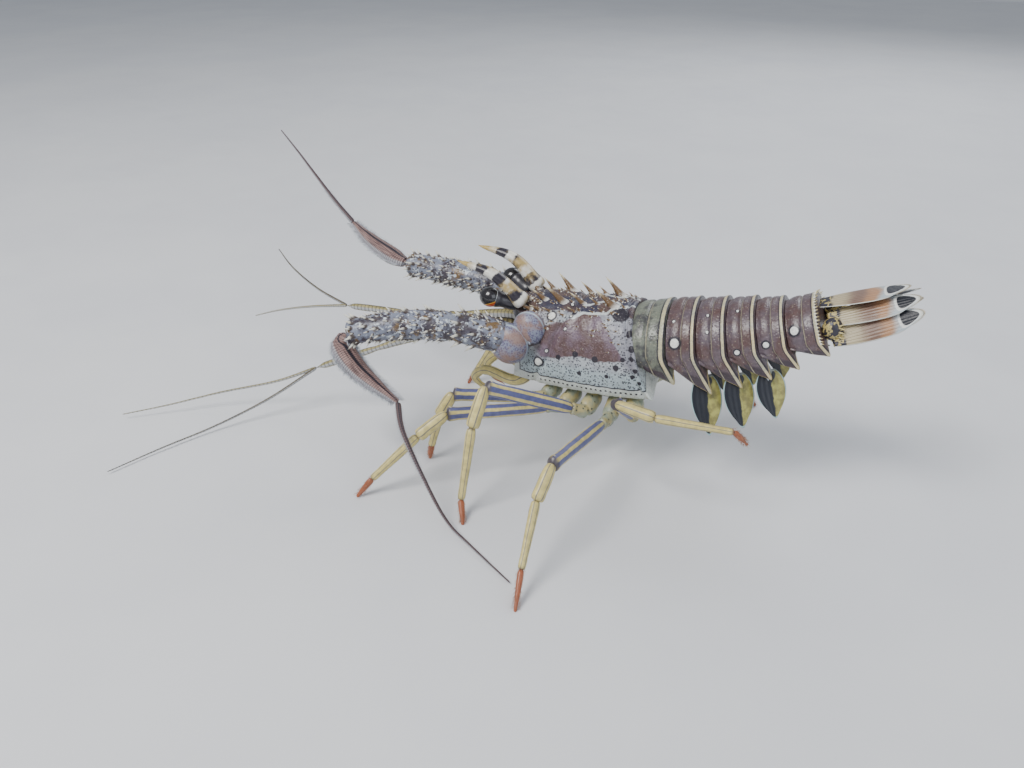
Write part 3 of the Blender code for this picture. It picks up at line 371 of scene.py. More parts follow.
class Finish:
    """A procedural material, put together from its nodes."""

    def __init__(self, name):
        self.material = bpy.data.materials.new(name)
        self.material.use_nodes = True
        self.tree = self.material.node_tree
        self.shader = self.tree.nodes["Principled BSDF"]
        self.object_place = self.tree.nodes.new("ShaderNodeTexCoord").outputs["Object"]

    def feed(self, node, socket, value):
        target = node.inputs[socket]
        if isinstance(value, bpy.types.NodeSocket):
            self.tree.links.new(value, target)
        else:
            target.default_value = value

    def node(self, kind, inputs, output=0, **settings):
        made = self.tree.nodes.new("ShaderNode" + kind)
        for key, value in settings.items():
            setattr(made, key, value)
        for socket, value in inputs.items():
            self.feed(made, socket, value)
        return made.outputs[output]

    def mark(self, name):
        return self.node("Attribute", {}, "Fac", attribute_name=name)

    def place(self):
        """Shares round and along the piece, from its own map."""
        split = self.tree.nodes.new("ShaderNodeSeparateXYZ")
        self.feed(split, "Vector", self.node("UVMap", {}, "UV", uv_map="place"))
        return split.outputs["X"], split.outputs["Y"]

    def stretched(self, scale):
        """The piece's own map, drawn out."""
        own = self.node("UVMap", {}, "UV", uv_map="place")
        return self.node("Mapping", {"Vector": own, "Scale": scale}, "Vector")

    def grain(self, scale, detail=4.0, roughness=0.55, source=None, distortion=0.0):
        return self.node("TexNoise", {"Vector": source or self.object_place, "Scale": scale,
                                      "Detail": detail, "Roughness": roughness,
                                      "Distortion": distortion}, "Fac")

    def cells(self, scale):
        return self.node("TexVoronoi", {"Vector": self.object_place, "Scale": scale}, "Distance")

    def span(self, value, low, high, to_low=0.0, to_high=1.0):
        return self.node("MapRange", {"Value": value, "From Min": low, "From Max": high,
                                      "To Min": to_low, "To Max": to_high}, "Result",
                         interpolation_type="SMOOTHSTEP")

    def sum(self, operation, first, second=0.0):
        return self.node("Math", {0: first, 1: second}, 0, operation=operation)

    def over(self, factor, below, above):
        return self.node("Mix", {0: factor, 6: below, 7: above}, 2, data_type="RGBA")

    def centred(self, value):
        """A noise that swings about zero."""
        return self.sum("SUBTRACT", value, 0.5)

    def plus(self, first, second, times):
        return self.sum("ADD", first, self.sum("MULTIPLY", second, times))

    def clouds(self, scale, detail, low, high):
        """A soft noise between two values, for roughness and brightness."""
        return self.span(self.grain(scale, detail), 0.2, 0.8, low, high)

    def marked(self, below, name, low, high, above):
        """Lay a colour over another where a mark passes from low to high."""
        return self.over(self.span(self.mark(name), low, high), below, above)

    def varied(self, colour, scale, detail, low, high):
        """Lighten and darken a colour a little."""
        value = self.clouds(scale, detail, low, high)
        return self.node("HueSaturation", {"Color": colour, "Value": value}, "Color")

    def cover(self, colour, roughness, height, depth, strength=0.6, coat=0.0, sheen=0.0):
        """Give the shader its colour, roughness and relief."""
        self.feed(self.shader, "Base Color", colour)
        self.feed(self.shader, "Roughness", roughness)
        self.shader.inputs["Specular IOR Level"].default_value = 0.5
        self.shader.inputs["Coat Weight"].default_value = coat
        self.shader.inputs["Coat Roughness"].default_value = 0.25
        self.shader.inputs["Sheen Weight"].default_value = sheen
        relief = self.node("Bump", {"Height": height, "Distance": depth, "Strength": strength},
                           "Normal")
        self.feed(self.shader, "Normal", relief)
        return self.material


def shell_finish():
    """Mottled carapace: painted shade on the top, purple-brown saddle on pale speckles, blotches
    and spots.
    """
    paint = Finish("carapace_shell")
    brown, dark, pale = (colour_of(name) for name in ("shell_brown", "shell_dark", "pale_mark"))
    broad = paint.grain(60, 5, 0.6)
    fine = paint.grain(420, 4, 0.6)
    ragged = paint.centred(fine)
    colour = paint.over(paint.span(broad, 0.38, 0.62), (0.46, 0.49, 0.52, 1),
                        colour_of("shell_grey"))
    colour = paint.marked(colour, "low", 0.1, 0.8, (0.42, 0.50, 0.53, 1))
    specks = paint.span(paint.cells(620), 0.40, 0.30)
    colour = paint.over(paint.sum("MULTIPLY", specks, 0.85), colour, dark)
    saddle = paint.over(paint.span(broad, 0.4, 0.62), brown, (0.16, 0.115, 0.155, 1))
    saddle = paint.over(paint.sum("MULTIPLY", paint.span(paint.cells(900), 0.5, 0.2), 0.35), saddle,
                        (0.24, 0.17, 0.18, 1))
    inside = paint.plus(paint.mark("saddle"), ragged, 0.22)
    colour = paint.over(paint.span(inside, -0.04, 0.07), colour, saddle)
    # Painted shade: the top of the carapace is painted near black, as if in shadow, with pale
    # specks over it.
    back = paint.over(paint.span(broad, 0.40, 0.60), (0.030, 0.030, 0.060, 1),
                      (0.10, 0.062, 0.055, 1))
    back = paint.over(paint.span(paint.cells(210), 0.13, 0.08), back, pale)
    top = paint.plus(paint.mark("back"), ragged, 0.3)
    colour = paint.over(paint.span(top, -0.04, 0.10), colour, back)
    line = paint.plus(paint.mark("pale"), ragged, 1.6)
    colour = paint.over(paint.span(line, 1.3, 0.8), colour, (0.56, 0.60, 0.60, 1))
    blotch = paint.plus(paint.mark("blotch"), ragged, 0.5)
    hem = paint.mark("hem")
    colour = paint.over(paint.span(hem, 0.02, 0.12), colour, (0.66, 0.70, 0.66, 1))
    colour = paint.over(paint.span(paint.sum("ABSOLUTE", hem), 0.14, 0.06), colour, dark)
    colour = paint.over(paint.span(blotch, 1.1, 0.88), colour, dark)
    white = paint.mark("white")
    colour = paint.over(paint.span(white, 1.75, 1.35), colour, dark)
    colour = paint.over(paint.span(white, 1.08, 0.92), colour, (0.80, 0.80, 0.76, 1))
    tip = paint.mark("tip")
    colour = paint.over(paint.span(tip, 0.01, 0.3), colour, (0.15, 0.085, 0.035, 1))
    colour = paint.over(paint.span(tip, 0.6, 0.9), colour, colour_of("spine_tip"))
    colour = paint.varied(colour, 900, 2, 0.82, 1.15)
    rough = paint.clouds(150, 4, 0.30, 0.5)
    pits = paint.plus(paint.span(paint.cells(650), 0.0, 0.5), fine, 0.8)
    return paint.cover(colour, rough, pits, 0.0006, 0.5, coat=0.2)


def band_finish():
    """Tail segments: purple-brown, a dark groove with a pale line, and a thin cream rear band."""
    paint = Finish("tail_segment_shell")
    brown, dark = colour_of("shell_brown"), colour_of("shell_dark")
    fine = paint.grain(380, 4, 0.6)
    broad = paint.grain(90, 5)
    ragged = paint.centred(fine)
    colour = paint.over(paint.span(broad, 0.35, 0.65), brown, (0.115, 0.088, 0.105, 1))
    colour = paint.over(paint.mark("first"), colour,
                        paint.over(paint.span(paint.grain(140, 4), 0.42, 0.62),
                                   (0.17, 0.185, 0.145, 1), (0.065, 0.065, 0.065, 1)))
    flecks = paint.span(paint.cells(560), 0.26, 0.14)
    colour = paint.over(paint.sum("MULTIPLY", flecks, 0.4), colour, (0.40, 0.35, 0.25, 1))
    colour = paint.marked(colour, "low", 0.3, 0.8, (0.045, 0.030, 0.040, 1))
    colour = paint.marked(colour, "ridge", 0.3, 0.9, (0.34, 0.31, 0.22, 1))
    colour = paint.marked(colour, "groove", 0.35, 0.8, dark)
    colour = paint.marked(colour, "edge", 0.3, 0.7, dark)
    band = paint.over(paint.span(broad, 0.35, 0.7), colour_of("cream_band"), (0.42, 0.42, 0.30, 1))
    colour = paint.over(paint.span(paint.plus(paint.mark("band"), ragged, 0.5),
                                   0.35, 0.65), colour, band)
    colour = paint.marked(colour, "hem", 0.4, 0.7, (0.50, 0.40, 0.16, 1))
    spot = paint.plus(paint.mark("spot"), ragged, 0.3)
    colour = paint.over(paint.span(spot, 1.75, 1.35), colour, dark)
    colour = paint.over(paint.span(spot, 1.08, 0.9), colour, (0.80, 0.80, 0.76, 1))
    tip = paint.mark("tip")
    colour = paint.over(paint.span(tip, 0.1, 0.6), colour, (0.62, 0.52, 0.24, 1))
    colour = paint.varied(colour, 800, 2, 0.8, 1.2)
    rough = paint.clouds(150, 4, 0.26, 0.44)
    pits = paint.plus(paint.span(paint.cells(600), 0.0, 0.5), fine, 0.8)
    return paint.cover(colour, rough, pits, 0.0004, 0.5, coat=0.2)


def stalk_finish():
    """Dark, blue-white and olive-brown mottle under pale-tipped spines; smooth net-marked domes."""
    paint = Finish("stalk_shell")
    fine = paint.grain(240, 5, 0.6, distortion=0.8)
    broad = paint.grain(75, 4, 0.6, distortion=0.4)
    colour = paint.over(paint.span(broad, 0.42, 0.56), (0.055, 0.045, 0.060, 1),
                        colour_of("stalk_blue"))
    colour = paint.over(paint.span(paint.grain(130, 4), 0.55, 0.66), colour,
                        (0.17, 0.105, 0.045, 1))
    colour = paint.over(paint.span(fine, 0.55, 0.64), colour, (0.60, 0.66, 0.72, 1))
    colour = paint.over(paint.span(paint.cells(330), 0.24, 0.14), colour, colour_of("shell_dark"))
    net = paint.over(paint.span(paint.cells(900), 0.35, 0.55), (0.11, 0.10, 0.19, 1),
                     (0.23, 0.25, 0.34, 1))
    net = paint.over(paint.span(broad, 0.46, 0.62, 0.0, 0.8), net, (0.29, 0.17, 0.12, 1))
    colour = paint.marked(colour, "dome", 0.3, 0.7, net)
    colour = paint.marked(colour, "skirt", 0.35, 0.85, (0.42, 0.50, 0.57, 1))
    tip = paint.mark("tip")
    colour = paint.over(paint.span(tip, 0.01, 0.25), colour, (0.075, 0.055, 0.05, 1))
    colour = paint.over(paint.span(tip, 0.35, 0.6), colour, (0.76, 0.74, 0.64, 1))
    rough = paint.clouds(150, 4, 0.30, 0.5)
    pits = paint.sum("ADD", paint.span(paint.cells(700), 0.0, 0.5), fine)
    return paint.cover(colour, rough, pits, 0.0005, 0.5, coat=0.15)


def horn_finish():
    """Bands of black, white and yellow across the horn."""
    paint = Finish("horn_shell")
    _, along = paint.place()
    line = paint.sum("ADD", along, paint.sum("MULTIPLY", paint.centred(paint.grain(200, 4)), 0.10))
    wave = paint.sum("SINE", paint.sum("MULTIPLY", line, 26.0))
    colour = paint.over(paint.span(wave, -0.2, 0.3), colour_of("shell_dark"),
                        colour_of("pale_mark"))
    colour = paint.over(paint.span(paint.grain(120, 3), 0.45, 0.65), colour, (0.45, 0.33, 0.13, 1))
    colour = paint.over(paint.span(along, 0.72, 0.9), colour, (0.50, 0.36, 0.12, 1))
    rough = paint.clouds(150, 4, 0.25, 0.42)
    return paint.cover(colour, rough, paint.grain(300, 5), 0.0004, 0.4, coat=0.2)


def eye_finish():
    """Black glassy eye with a painted grey-white highlight and an orange-red crescent under it."""
    paint = Finish("eye_gloss")
    colour = paint.over(paint.span(paint.cells(2600), 0.2, 0.6), (0.006, 0.006, 0.009, 1),
                        (0.02, 0.018, 0.02, 1))
    colour = paint.marked(colour, "stem", 0.3, 0.7, (0.030, 0.028, 0.036, 1))
    # The rim mark paints a highlight: a grey-white reflection crescent on the upper outer side of
    # the eye, next to the stalk.
    colour = paint.marked(colour, "rim", 0.4, 0.7, (0.52, 0.56, 0.58, 1))
    glow = paint.over(paint.span(paint.mark("crescent"), 0.6, 0.95), (0.70, 0.38, 0.06, 1),
                      (0.66, 0.09, 0.02, 1))
    colour = paint.marked(colour, "crescent", 0.25, 0.45, glow)
    rough = paint.span(paint.mark("stem"), 0.2, 0.8, 0.07, 0.4)
    return paint.cover(colour, rough, paint.cells(2600), 0.00005, 0.25, coat=0.6)


def whip_finish(name, rings, base, stripe):
    """Fine rings across a whip, with light and dark stripes along it."""
    paint = Finish(name)
    around, along = paint.place()
    ripple = paint.sum("SINE", paint.sum("MULTIPLY", along, rings))
    streak = paint.grain(9, 4, 0.6, source=paint.stretched((9, 0.6, 1)))
    edge = paint.sum("ABSOLUTE", paint.sum("COSINE", paint.sum("MULTIPLY", around, 2 * math.pi)))
    colour = paint.over(paint.span(streak, 0.40, 0.60), base, stripe)
    colour = paint.over(paint.span(edge, 0.80, 0.95, 0.0, 0.8), colour, (0.46, 0.48, 0.52, 1))
    colour = paint.over(paint.span(edge, 0.22, 0.10), colour, colour_of("shell_dark"))
    colour = paint.over(paint.span(ripple, 0.2, 0.95, 0.0, 0.5), colour, colour_of("shell_dark"))
    colour = paint.marked(colour, "tip", 0.01, 0.3, colour_of("bristle"))
    rough = paint.clouds(200, 4, 0.35, 0.55)
    return paint.cover(colour, rough, ripple, 0.00025, 0.6)


def leg_finish():
    """Yellow legs with violet stripes along them and dark lines at the joints."""
    paint = Finish("leg_shell")
    around, along = paint.place()
    wobble = paint.sum("MULTIPLY", paint.centred(paint.grain(120, 3)), 1.2)
    stripe = paint.sum("SINE", paint.sum("ADD", paint.sum("MULTIPLY", around, 31.4), wobble))
    colour = paint.over(paint.span(stripe, -0.55, -0.1), colour_of("leg_yellow"),
                        colour_of("leg_violet"))
    plain = paint.mark("plain")
    colour = paint.over(plain, colour, colour_of("leg_yellow"))
    lines = paint.sum("SINE", paint.sum("ADD", paint.sum("MULTIPLY", around, 37.7), wobble))
    colour = paint.over(paint.sum("MULTIPLY", paint.span(lines, 0.75, 0.95, 0.0, 0.8), plain),
                        colour, (0.09, 0.10, 0.14, 1))
    root = paint.over(paint.span(paint.grain(150, 4), 0.40, 0.62), (0.30, 0.34, 0.26, 1),
                      (0.42, 0.36, 0.17, 1))
    root = paint.over(paint.span(paint.cells(300), 0.26, 0.14), root, (0.07, 0.08, 0.07, 1))
    colour = paint.marked(colour, "root", 0.3, 0.8, root)
    joint = paint.span(paint.sum("ABSOLUTE", paint.centred(along)), 0.44, 0.49)
    colour = paint.over(joint, colour, (0.07, 0.06, 0.07, 1))
    colour = paint.over(paint.mark("foot"), colour, colour_of("foot_red"))
    colour = paint.marked(colour, "tip", 0.3, 0.8, colour_of("spine_tip"))
    colour = paint.varied(colour, 300, 3, 0.78, 1.2)
    rough = paint.clouds(200, 4, 0.28, 0.48)
    return paint.cover(colour, rough, paint.grain(500, 4), 0.0003, 0.4, coat=0.1)


def hair_finish(name, root, tip):
    """Bristles that fade from their root to their tip."""
    paint = Finish(name)
    colour = paint.marked(root, "tip", 0.0, 0.8, tip)
    colour = paint.varied(colour, 400, 2, 0.7, 1.2)
    rough = paint.clouds(300, 2, 0.5, 0.7)
    return paint.cover(colour, rough, paint.grain(800, 2), 0.0001, 0.3, sheen=0.2)


def fan_finish():
    """Fan blade: dark root, cream with fine brown rays, orange tinge, black spot, white rim."""
    paint = Finish("fan_blade")
    across, reach = paint.mark("across"), paint.mark("reach")
    ragged = paint.centred(paint.grain(170, 4))
    line = paint.plus(reach, ragged, 0.12)
    rays = paint.span(paint.sum("SINE", paint.sum("MULTIPLY", across, 52.0)), 0.1, 0.8, 0.0, 0.55)
    colour = (0.50, 0.43, 0.27, 1)
    for low, high, above in ((0.24, 0.44, (0.20, 0.12, 0.085, 1)),
                             (0.48, 0.62, colour_of("fan_orange")),
                             (0.64, 0.76, (0.44, 0.50, 0.53, 1))):
        colour = paint.over(paint.span(line, low, high), colour, above)
    colour = paint.over(paint.sum("MULTIPLY", rays, paint.span(reach, 0.85, 0.6)), colour,
                        (0.16, 0.10, 0.08, 1))
    ahead = paint.sum("DIVIDE", paint.sum("SUBTRACT", reach, 0.85), 0.10)
    aside = paint.sum("DIVIDE", across, 0.62)
    spot = paint.sum("ADD", paint.sum("POWER", ahead, 2.0), paint.sum("POWER", aside, 2.0))
    colour = paint.over(paint.span(spot, 1.75, 1.45), colour, (0.74, 0.75, 0.72, 1))
    colour = paint.over(paint.span(spot, 1.10, 0.90), colour, (0.008, 0.010, 0.018, 1))
    root = paint.over(paint.span(paint.sum("ABSOLUTE", ragged), 0.05, 0.025),
                      (0.030, 0.028, 0.040, 1), (0.52, 0.42, 0.16, 1))
    colour = paint.over(paint.span(line, 0.16, 0.12), colour, root)
    colour = paint.marked(colour, "rim", 0.4, 0.8, (0.66, 0.66, 0.60, 1))
    colour = paint.marked(colour, "tip", 0.05, 0.4, (0.62, 0.52, 0.24, 1))
    rough = paint.clouds(200, 4, 0.32, 0.5)
    return paint.cover(colour, rough, paint.grain(420, 4), 0.0003, 0.5, coat=0.1)


def leaf_finish():
    """Swimmeret leaf: black front, olive rear lobe, pale blue edge, white fleck at the root."""
    paint = Finish("swimmeret_leaf")
    across, reach = paint.mark("across"), paint.mark("reach")
    ragged = paint.sum("MULTIPLY", paint.centred(paint.grain(200, 4)), 0.3)
    lobe = paint.sum("ADD", paint.sum("ADD", across, ragged),
                     paint.span(reach, 0.08, 0.30, -0.55, 0.0))
    olive = paint.over(paint.span(paint.grain(260, 4), 0.35, 0.7), colour_of("olive"),
                       (0.42, 0.40, 0.11, 1))
    colour = paint.over(paint.span(lobe, 0.02, 0.12), (0.010, 0.012, 0.020, 1), olive)
    aside = paint.sum("ABSOLUTE", paint.sum("ADD", across, 0.10))
    ahead = paint.sum("ABSOLUTE", paint.sum("SUBTRACT", reach, 0.13))
    fleck = paint.plus(aside, ahead, 2.2)
    colour = paint.over(paint.span(fleck, 0.24, 0.16), colour, (0.70, 0.76, 0.80, 1))
    colour = paint.marked(colour, "rim", 0.3, 0.8, (0.46, 0.64, 0.66, 1))
    colour = paint.over(paint.span(reach, 0.06, 0.02), colour, (0.34, 0.38, 0.36, 1))
    rough = paint.clouds(200, 4, 0.32, 0.5)
    return paint.cover(colour, rough, paint.grain(420, 4), 0.0003, 0.5, coat=0.1)


def thorax_point(along, lateral, height):
    """A point of the thorax, in metres along and across, with its height above the breast plate."""
    rise = height - THORAX_HEIGHT / 2
    return ORIGIN + THORAX_CENTRE + Vector((
        along * math.cos(THORAX_PITCH) - rise * math.sin(THORAX_PITCH),
        lateral,
        along * math.sin(THORAX_PITCH) + rise * math.cos(THORAX_PITCH)))


def shell_level(angle, along, swell=0.0):
    """The shell's surface at an angle from the top and a share of its length along."""
    turn = min(abs(angle), 180.0)
    grow = 1 + swell * (1 if turn < 130 else max(0.0, (150 - turn) / 20))
    half = (0.5 * THORAX_WIDTH * curve(along, WIDTH_ALONG, False)
            * curve(turn, OUTLINE_WIDTH, False) * grow)
    middle = 0.45
    level = middle + (curve(turn, OUTLINE_HEIGHT) - middle) * grow
    if level > middle:
        share = curve(along, HEIGHT_ALONG, False) - middle
        level = middle + (level - middle) * share / (1 - middle)
    return thorax_point(along * CL, math.copysign(half, angle), level * THORAX_HEIGHT)


def shell_edges(angle):
    turn = abs(angle)
    return curve(turn, FRONT_EDGE), curve(turn, GROOVE_LINE), curve(turn, REAR_EDGE)


def shell_swell(angle, along):
    """Grooves and ridges of the carapace, as a share of its width."""
    front, groove, rear = shell_edges(angle)
    swell = -0.050 * bump(along, groove, 0.018) + 0.012 * bump(along, groove + 0.05, 0.03)
    swell += 0.008 * bump(along, groove - 0.05, 0.03)
    swell += -0.032 * bump(along, rear - 0.040, 0.008) + 0.016 * bump(along, rear - 0.016, 0.012)
    swell += 0.006 * math.sin(along * 60 + angle * 0.09) * bump(along, 0.1, 0.5)
    return swell


def shell_point(angle, along):
    place = shell_level(angle, along, shell_swell(angle, along))
    lump = noise.noise(place * 160) * 0.6 + noise.noise(place * 420) * 0.4
    out = (place - thorax_point(along * CL, 0, 0.45 * THORAX_HEIGHT)).normalized()
    return place + out * lump * sizes().relief


def shell_out(angle, along):
    """The way out of the shell at one point."""
    here = shell_level(angle, along)
    ahead, aside = shell_level(angle, along + 0.02) - here, shell_level(angle + 3, along) - here
    return ahead.cross(aside).normalized()


# Big carapace spines: angle from the top, share of CL behind the middle, length in millimetres
BIG_SPINES = [(17, -0.33, 9), (17, -0.22, 9), (17, -0.09, 13), (15, 0.05, 9), (15, 0.15, 6),
              (15, 0.25, 13), (15, 0.33, 4), (36, -0.30, 7), (36, -0.23, 6), (36, -0.15, 5),
              (38, -0.05, 4), (30, 0.02, 5), (26, 0.20, 3.5), (52, -0.26, 9), (52, -0.20, 5),
              (58, -0.15, 4), (0, -0.20, 5), (0, 0.10, 4.5), (0, 0.26, 3.5)]
# Marks of the flank: angle from the top, share of CL behind the middle, radius in millimetres
BLOTCHES = [(88, -0.05, 1.7), (81, 0.07, 1.9), (84, 0.204, 2.0), (91, 0.343, 1.9),
            (102, 0.45, 1.6), (105, 0.096, 1.4), (104, 0.282, 1.4), (50, 0.408, 2.3),
            (66, 0.435, 2.1), (78, 0.44, 1.6), (110, 0.49, 1.4), (93, 0.465, 1.6),
            (80, 0.385, 1.5), (27, 0.325, 5.2), (32, 0.02, 1.5), (9, -0.03, 1.4)]
WHITE_SPOTS = [(42, -0.128, 2.3), (101, -0.205, 2.5), (54, -0.016, 1.0), (84, -0.138, 1.1),
               (37, 0.005, 0.9), (18, -0.016, 1.1), (24, -0.24, 1.2), (33, -0.34, 1.5)]
PALE_LINES = [[(39, 0.02), (31, 0.08), (30, 0.184), (29, 0.234), (20, 0.263), (13, 0.321),
               (9, 0.392)],
              [(19, 0.069), (13, 0.135), (5, 0.236), (10, 0.302)]]
SADDLE_TOP = [(-0.2, 57), (-0.09, 49), (0.02, 39), (0.08, 32), (0.2, 31)]
SADDLE_BOTTOM = [(-0.2, 92), (-0.128, 92), (-0.01, 87), (0.10, 83), (0.228, 86), (0.4, 82)]
MARGIN_TURN = 122                 # angle at which the pale lower hem begins
MARGIN_DOTS = 24
TURN_MM = 0.5                     # millimetres round the shell for each degree
SHELL_COLUMNS, SHELL_ROWS = 200, 190
FACE_END, GROOVE_AT, REAR_AT = 0.08, 0.42, 0.96     # shares of the rows: face, groove, rear edge
BEFORE_GROOVE, AFTER_GROOVE = 0.34, 0.54            # shares of the rows that each stretch takes
SMALL_SHELL_SPINES = 230


def nearest_mark(place, marks, radii):
    return min((place - mark).length / radius for mark, radius in zip(marks, radii))


def both_sides(marks):
    """Places and radii of flank marks, left and right."""
    places = [shell_level(angle * side, along) for side in (-1, 1) for angle, along, _ in marks]
    return places, [radius * MM for _, _, radius in marks] * 2


def pale_line_tree():
    """Search tree of points along the pale lines of the back."""
    points = []
    for line in PALE_LINES:
        for (a0, l0), (a1, l1) in zip(line, line[1:]):
            for step in range(12):
                t = step / 12
                for side in (-1, 1):
                    points.append(shell_level(side * (a0 + (a1 - a0) * t), l0 + (l1 - l0) * t))
    tree = KDTree(len(points))
    for index, point in enumerate(points):
        tree.insert(point, index)
    tree.balance()
    return tree


def saddle_depth(turn, along):
    """How far inside the purple-brown saddle a point lies, in centimetres."""
    right = 0.184 + 0.0043 * (turn - 31)
    return 0.1 * min((turn - curve(along, SADDLE_TOP, False)) * TURN_MM,
                     (curve(along, SADDLE_BOTTOM, False) - turn) * TURN_MM,
                     (along + 0.195) * CL / MM, (right - along) * CL / MM)


class LOBSTER_OT_carapace(bpy.types.Operator):
    """Model the carapace with its grooves, spines and marks"""
    bl_idname = "lobster.carapace"
    bl_label = "Carapace"

    def execute(self, context):
        dice = random.Random(sizes().scatter)
        growth = sizes().spine_growth
        form = Form("back", "saddle", "low", "pale", "blotch", "white", "hem")
        dots = [(MARGIN_TURN + 7, -0.30 + 0.80 * step / MARGIN_DOTS, 0.85)
                for step in range(MARGIN_DOTS + 1)]
        blotches, radii = both_sides(BLOTCHES + dots)
        spots, spot_radii = both_sides(WHITE_SPOTS)
        lines = pale_line_tree()
        face = thorax_point(-0.47 * CL, 0, 0.55 * THORAX_HEIGHT)
        tail = thorax_point(0.44 * CL, 0, 0.45 * THORAX_HEIGHT)

        def read(u, v):
            angle = (u - 0.5) * 360
            front, groove, rear = shell_edges(angle)
            if v < GROOVE_AT:
                return angle, front + (groove - front) * max(0.0, (v - FACE_END) / BEFORE_GROOVE)
            return angle, groove + (rear - groove) * min(1.0, (v - GROOVE_AT) / AFTER_GROOVE)

        def shape(u, v):
            angle, along = read(u, v)
            place = shell_point(angle, along)
            if v < FACE_END:
                return face.lerp(place, ease(v / FACE_END) ** 0.6)
            if v > REAR_AT:
                return place.lerp(tail, ((v - REAR_AT) / 0.04) ** 1.5)
            return place

        def tell(place, u, v):
            angle, along = read(u, v)
            turn = abs(angle)
            # back places painted shade: the shell within 30 to 42 degrees of the top is painted
            # dark, as if in shadow.
            return {"back": (30 + 12 * ease(-along / 0.3) - turn) * TURN_MM * 0.1,
                    "saddle": saddle_depth(turn, along), "low": ease((turn - 84) / 30),
                    "pale": lines.find(place)[2] / (0.9 * MM),
                    "blotch": nearest_mark(place, blotches, radii),
                    "white": nearest_mark(place, spots, spot_radii),
                    "hem": (turn - MARGIN_TURN) * 0.1}

        form.sheet(SHELL_COLUMNS, SHELL_ROWS, shape, tell)
        for angle, along, length in BIG_SPINES:
            for side in ((-1, 1) if angle else (1,)):
                out = shell_out(angle * side, along)
                form.spine(shell_level(angle * side, along), out + FORWARD * 0.85,
                           length * growth * MM, 0.20, FORWARD * 0.22, (0.5, 0.5), 10, 6)
        for _ in range(SMALL_SHELL_SPINES):
            angle = dice.triangular(-80, 80, 0)
            front, groove, rear = shell_edges(angle)
            along = dice.uniform(front + 0.02, rear - 0.06)
            if abs(along - groove) < 0.03:
                continue
            length = dice.uniform(1.1, 2.6) * (1 if abs(angle) < 70 else 0.6)
            form.spine(shell_level(angle, along), shell_out(angle, along) + FORWARD * 1.1,
                       length * growth * MM, 0.26, FORWARD * 0.2, (0.5, 0.5), 6, 3)
        form.done("carapace_shell", shell_finish(), "shell", "carapace")
        return {"FINISHED"}


def segment_frames():
    """Start, axes and sizes of each tail segment, and of the fan."""
    start = thorax_point(ABDOMEN_START[0] * CL, 0, ABDOMEN_START[1] * THORAX_HEIGHT)
    yaw, pitch = 0.0, THORAX_PITCH
    frames = []
    for index in range(7):
        yaw += FIRST_YAW if index == 0 else NEXT_YAW
        pitch += FIRST_PITCH if index == 0 else NEXT_PITCH
        along = Vector((math.cos(yaw) * math.cos(pitch), math.sin(yaw) * math.cos(pitch),
                        math.sin(pitch)))
        side = Vector((-math.sin(yaw), math.cos(yaw), 0))
        up = along.cross(side)
        length, half, height = FAN_LENGTH, 0, 0
        if index < 6:
            length = SEGMENT_LENGTHS[index] * CL
            half = ABDOMEN_WIDTH / 2 * SEGMENT_WIDTHS[index]
            height = ABDOMEN_HEIGHT * SEGMENT_HEIGHTS[index]
        frames.append({"start": start.copy(), "along": along, "side": side, "up": up,
                       "length": length, "half": half, "height": height})
        start = start + along * length
    for before, here in zip([frames[0]] + frames, frames):
        here["joint_side"] = (before["side"] + here["side"]).normalized()
        here["joint_up"] = (before["up"] + here["up"]).normalized()
    return frames


# Swelling of a segment, and the depth of its side lobe, over its length
SEGMENT_SWELL = [(0.0, -0.055), (0.10, -0.04), (0.24, 0.0), (0.44, 0.004), (0.49, -0.028),
                 (0.53, -0.028), (0.58, 0.006), (0.80, 0.012), (0.92, 0.034), (0.985, 0.032),
                 (1.0, 0.016)]
LOBE_ALONG = [(0.0, 0.24), (0.14, 0.40), (0.42, 0.74), (0.62, 0.95), (0.80, 1.10), (0.90, 1.20),
              (0.95, 1.12), (1.0, 0.78)]
ARCH = range(-90, 91, 18)         # angles of the points over the back, in degrees
OUTLINE_POINTS, OUTER_POINTS = 22, 16      # points round a segment, and those on its outer side
SEGMENT_COLUMNS, SEGMENT_ROWS = 132, 72
CAP = 0.03                        # share of the rows that closes each end of a segment
OPEN = 0.94                       # share between the two caps


def segment_outline(here, following, share, lobe, swell):
    """The points of one cross-section of a tail segment."""
    half, height = here["half"], here["height"]
    if following["half"]:
        half += (following["half"] - half) * share * 0.6
        height += (following["height"] - height) * share * 0.6
    centre = here["start"] + here["along"] * (here["length"] * share)
    across = here["joint_side"].lerp(following["joint_side"], share)
    upward = here["joint_up"].lerp(following["joint_up"], share)
    backward = across.cross(upward)
    rise = height * ARCH_SHARE
    drop = height * (1 - ARCH_SHARE) * lobe
    grow = 1 + swell
    wall, belly = LOBE_WALL * half, BELLY_LEVEL * height

    def place(y, z):
        return centre + across * y + upward * z + backward * LOBE_RAKE * max(0.0, -z)

    arch = [place(math.sin(math.radians(angle)) * half * grow,
                  math.cos(math.radians(angle)) * rise * grow) for angle in ARCH]
    left = [place(-half * 0.93, -drop), place(-half * 0.985, -drop * 0.75),
            place(-half * grow, -drop * 0.4)]
    right = [place(half * grow, -drop * 0.4), place(half * 0.985, -drop * 0.75),
             place(half * 0.93, -drop)]
    under = [place(half * 0.93 - wall, -drop * 0.88), place(half * 0.93 - wall * 1.6, belly),
             place(0, belly - 0.03 * height), place(-half * 0.93 + wall * 1.6, belly),
             place(-half * 0.93 + wall, -drop * 0.88)]
    return left + arch + right + under


def round_outline(points, share):
    """Read a smooth closed outline at a share of its way round."""
    count = len(points)
    place = (share % 1.0) * count
    index = int(place)
    t = place - index
    a, b, c, d = (points[(index + step) % count] for step in (-1, 0, 1, 2))
    return spline(a, b, c, d, t)


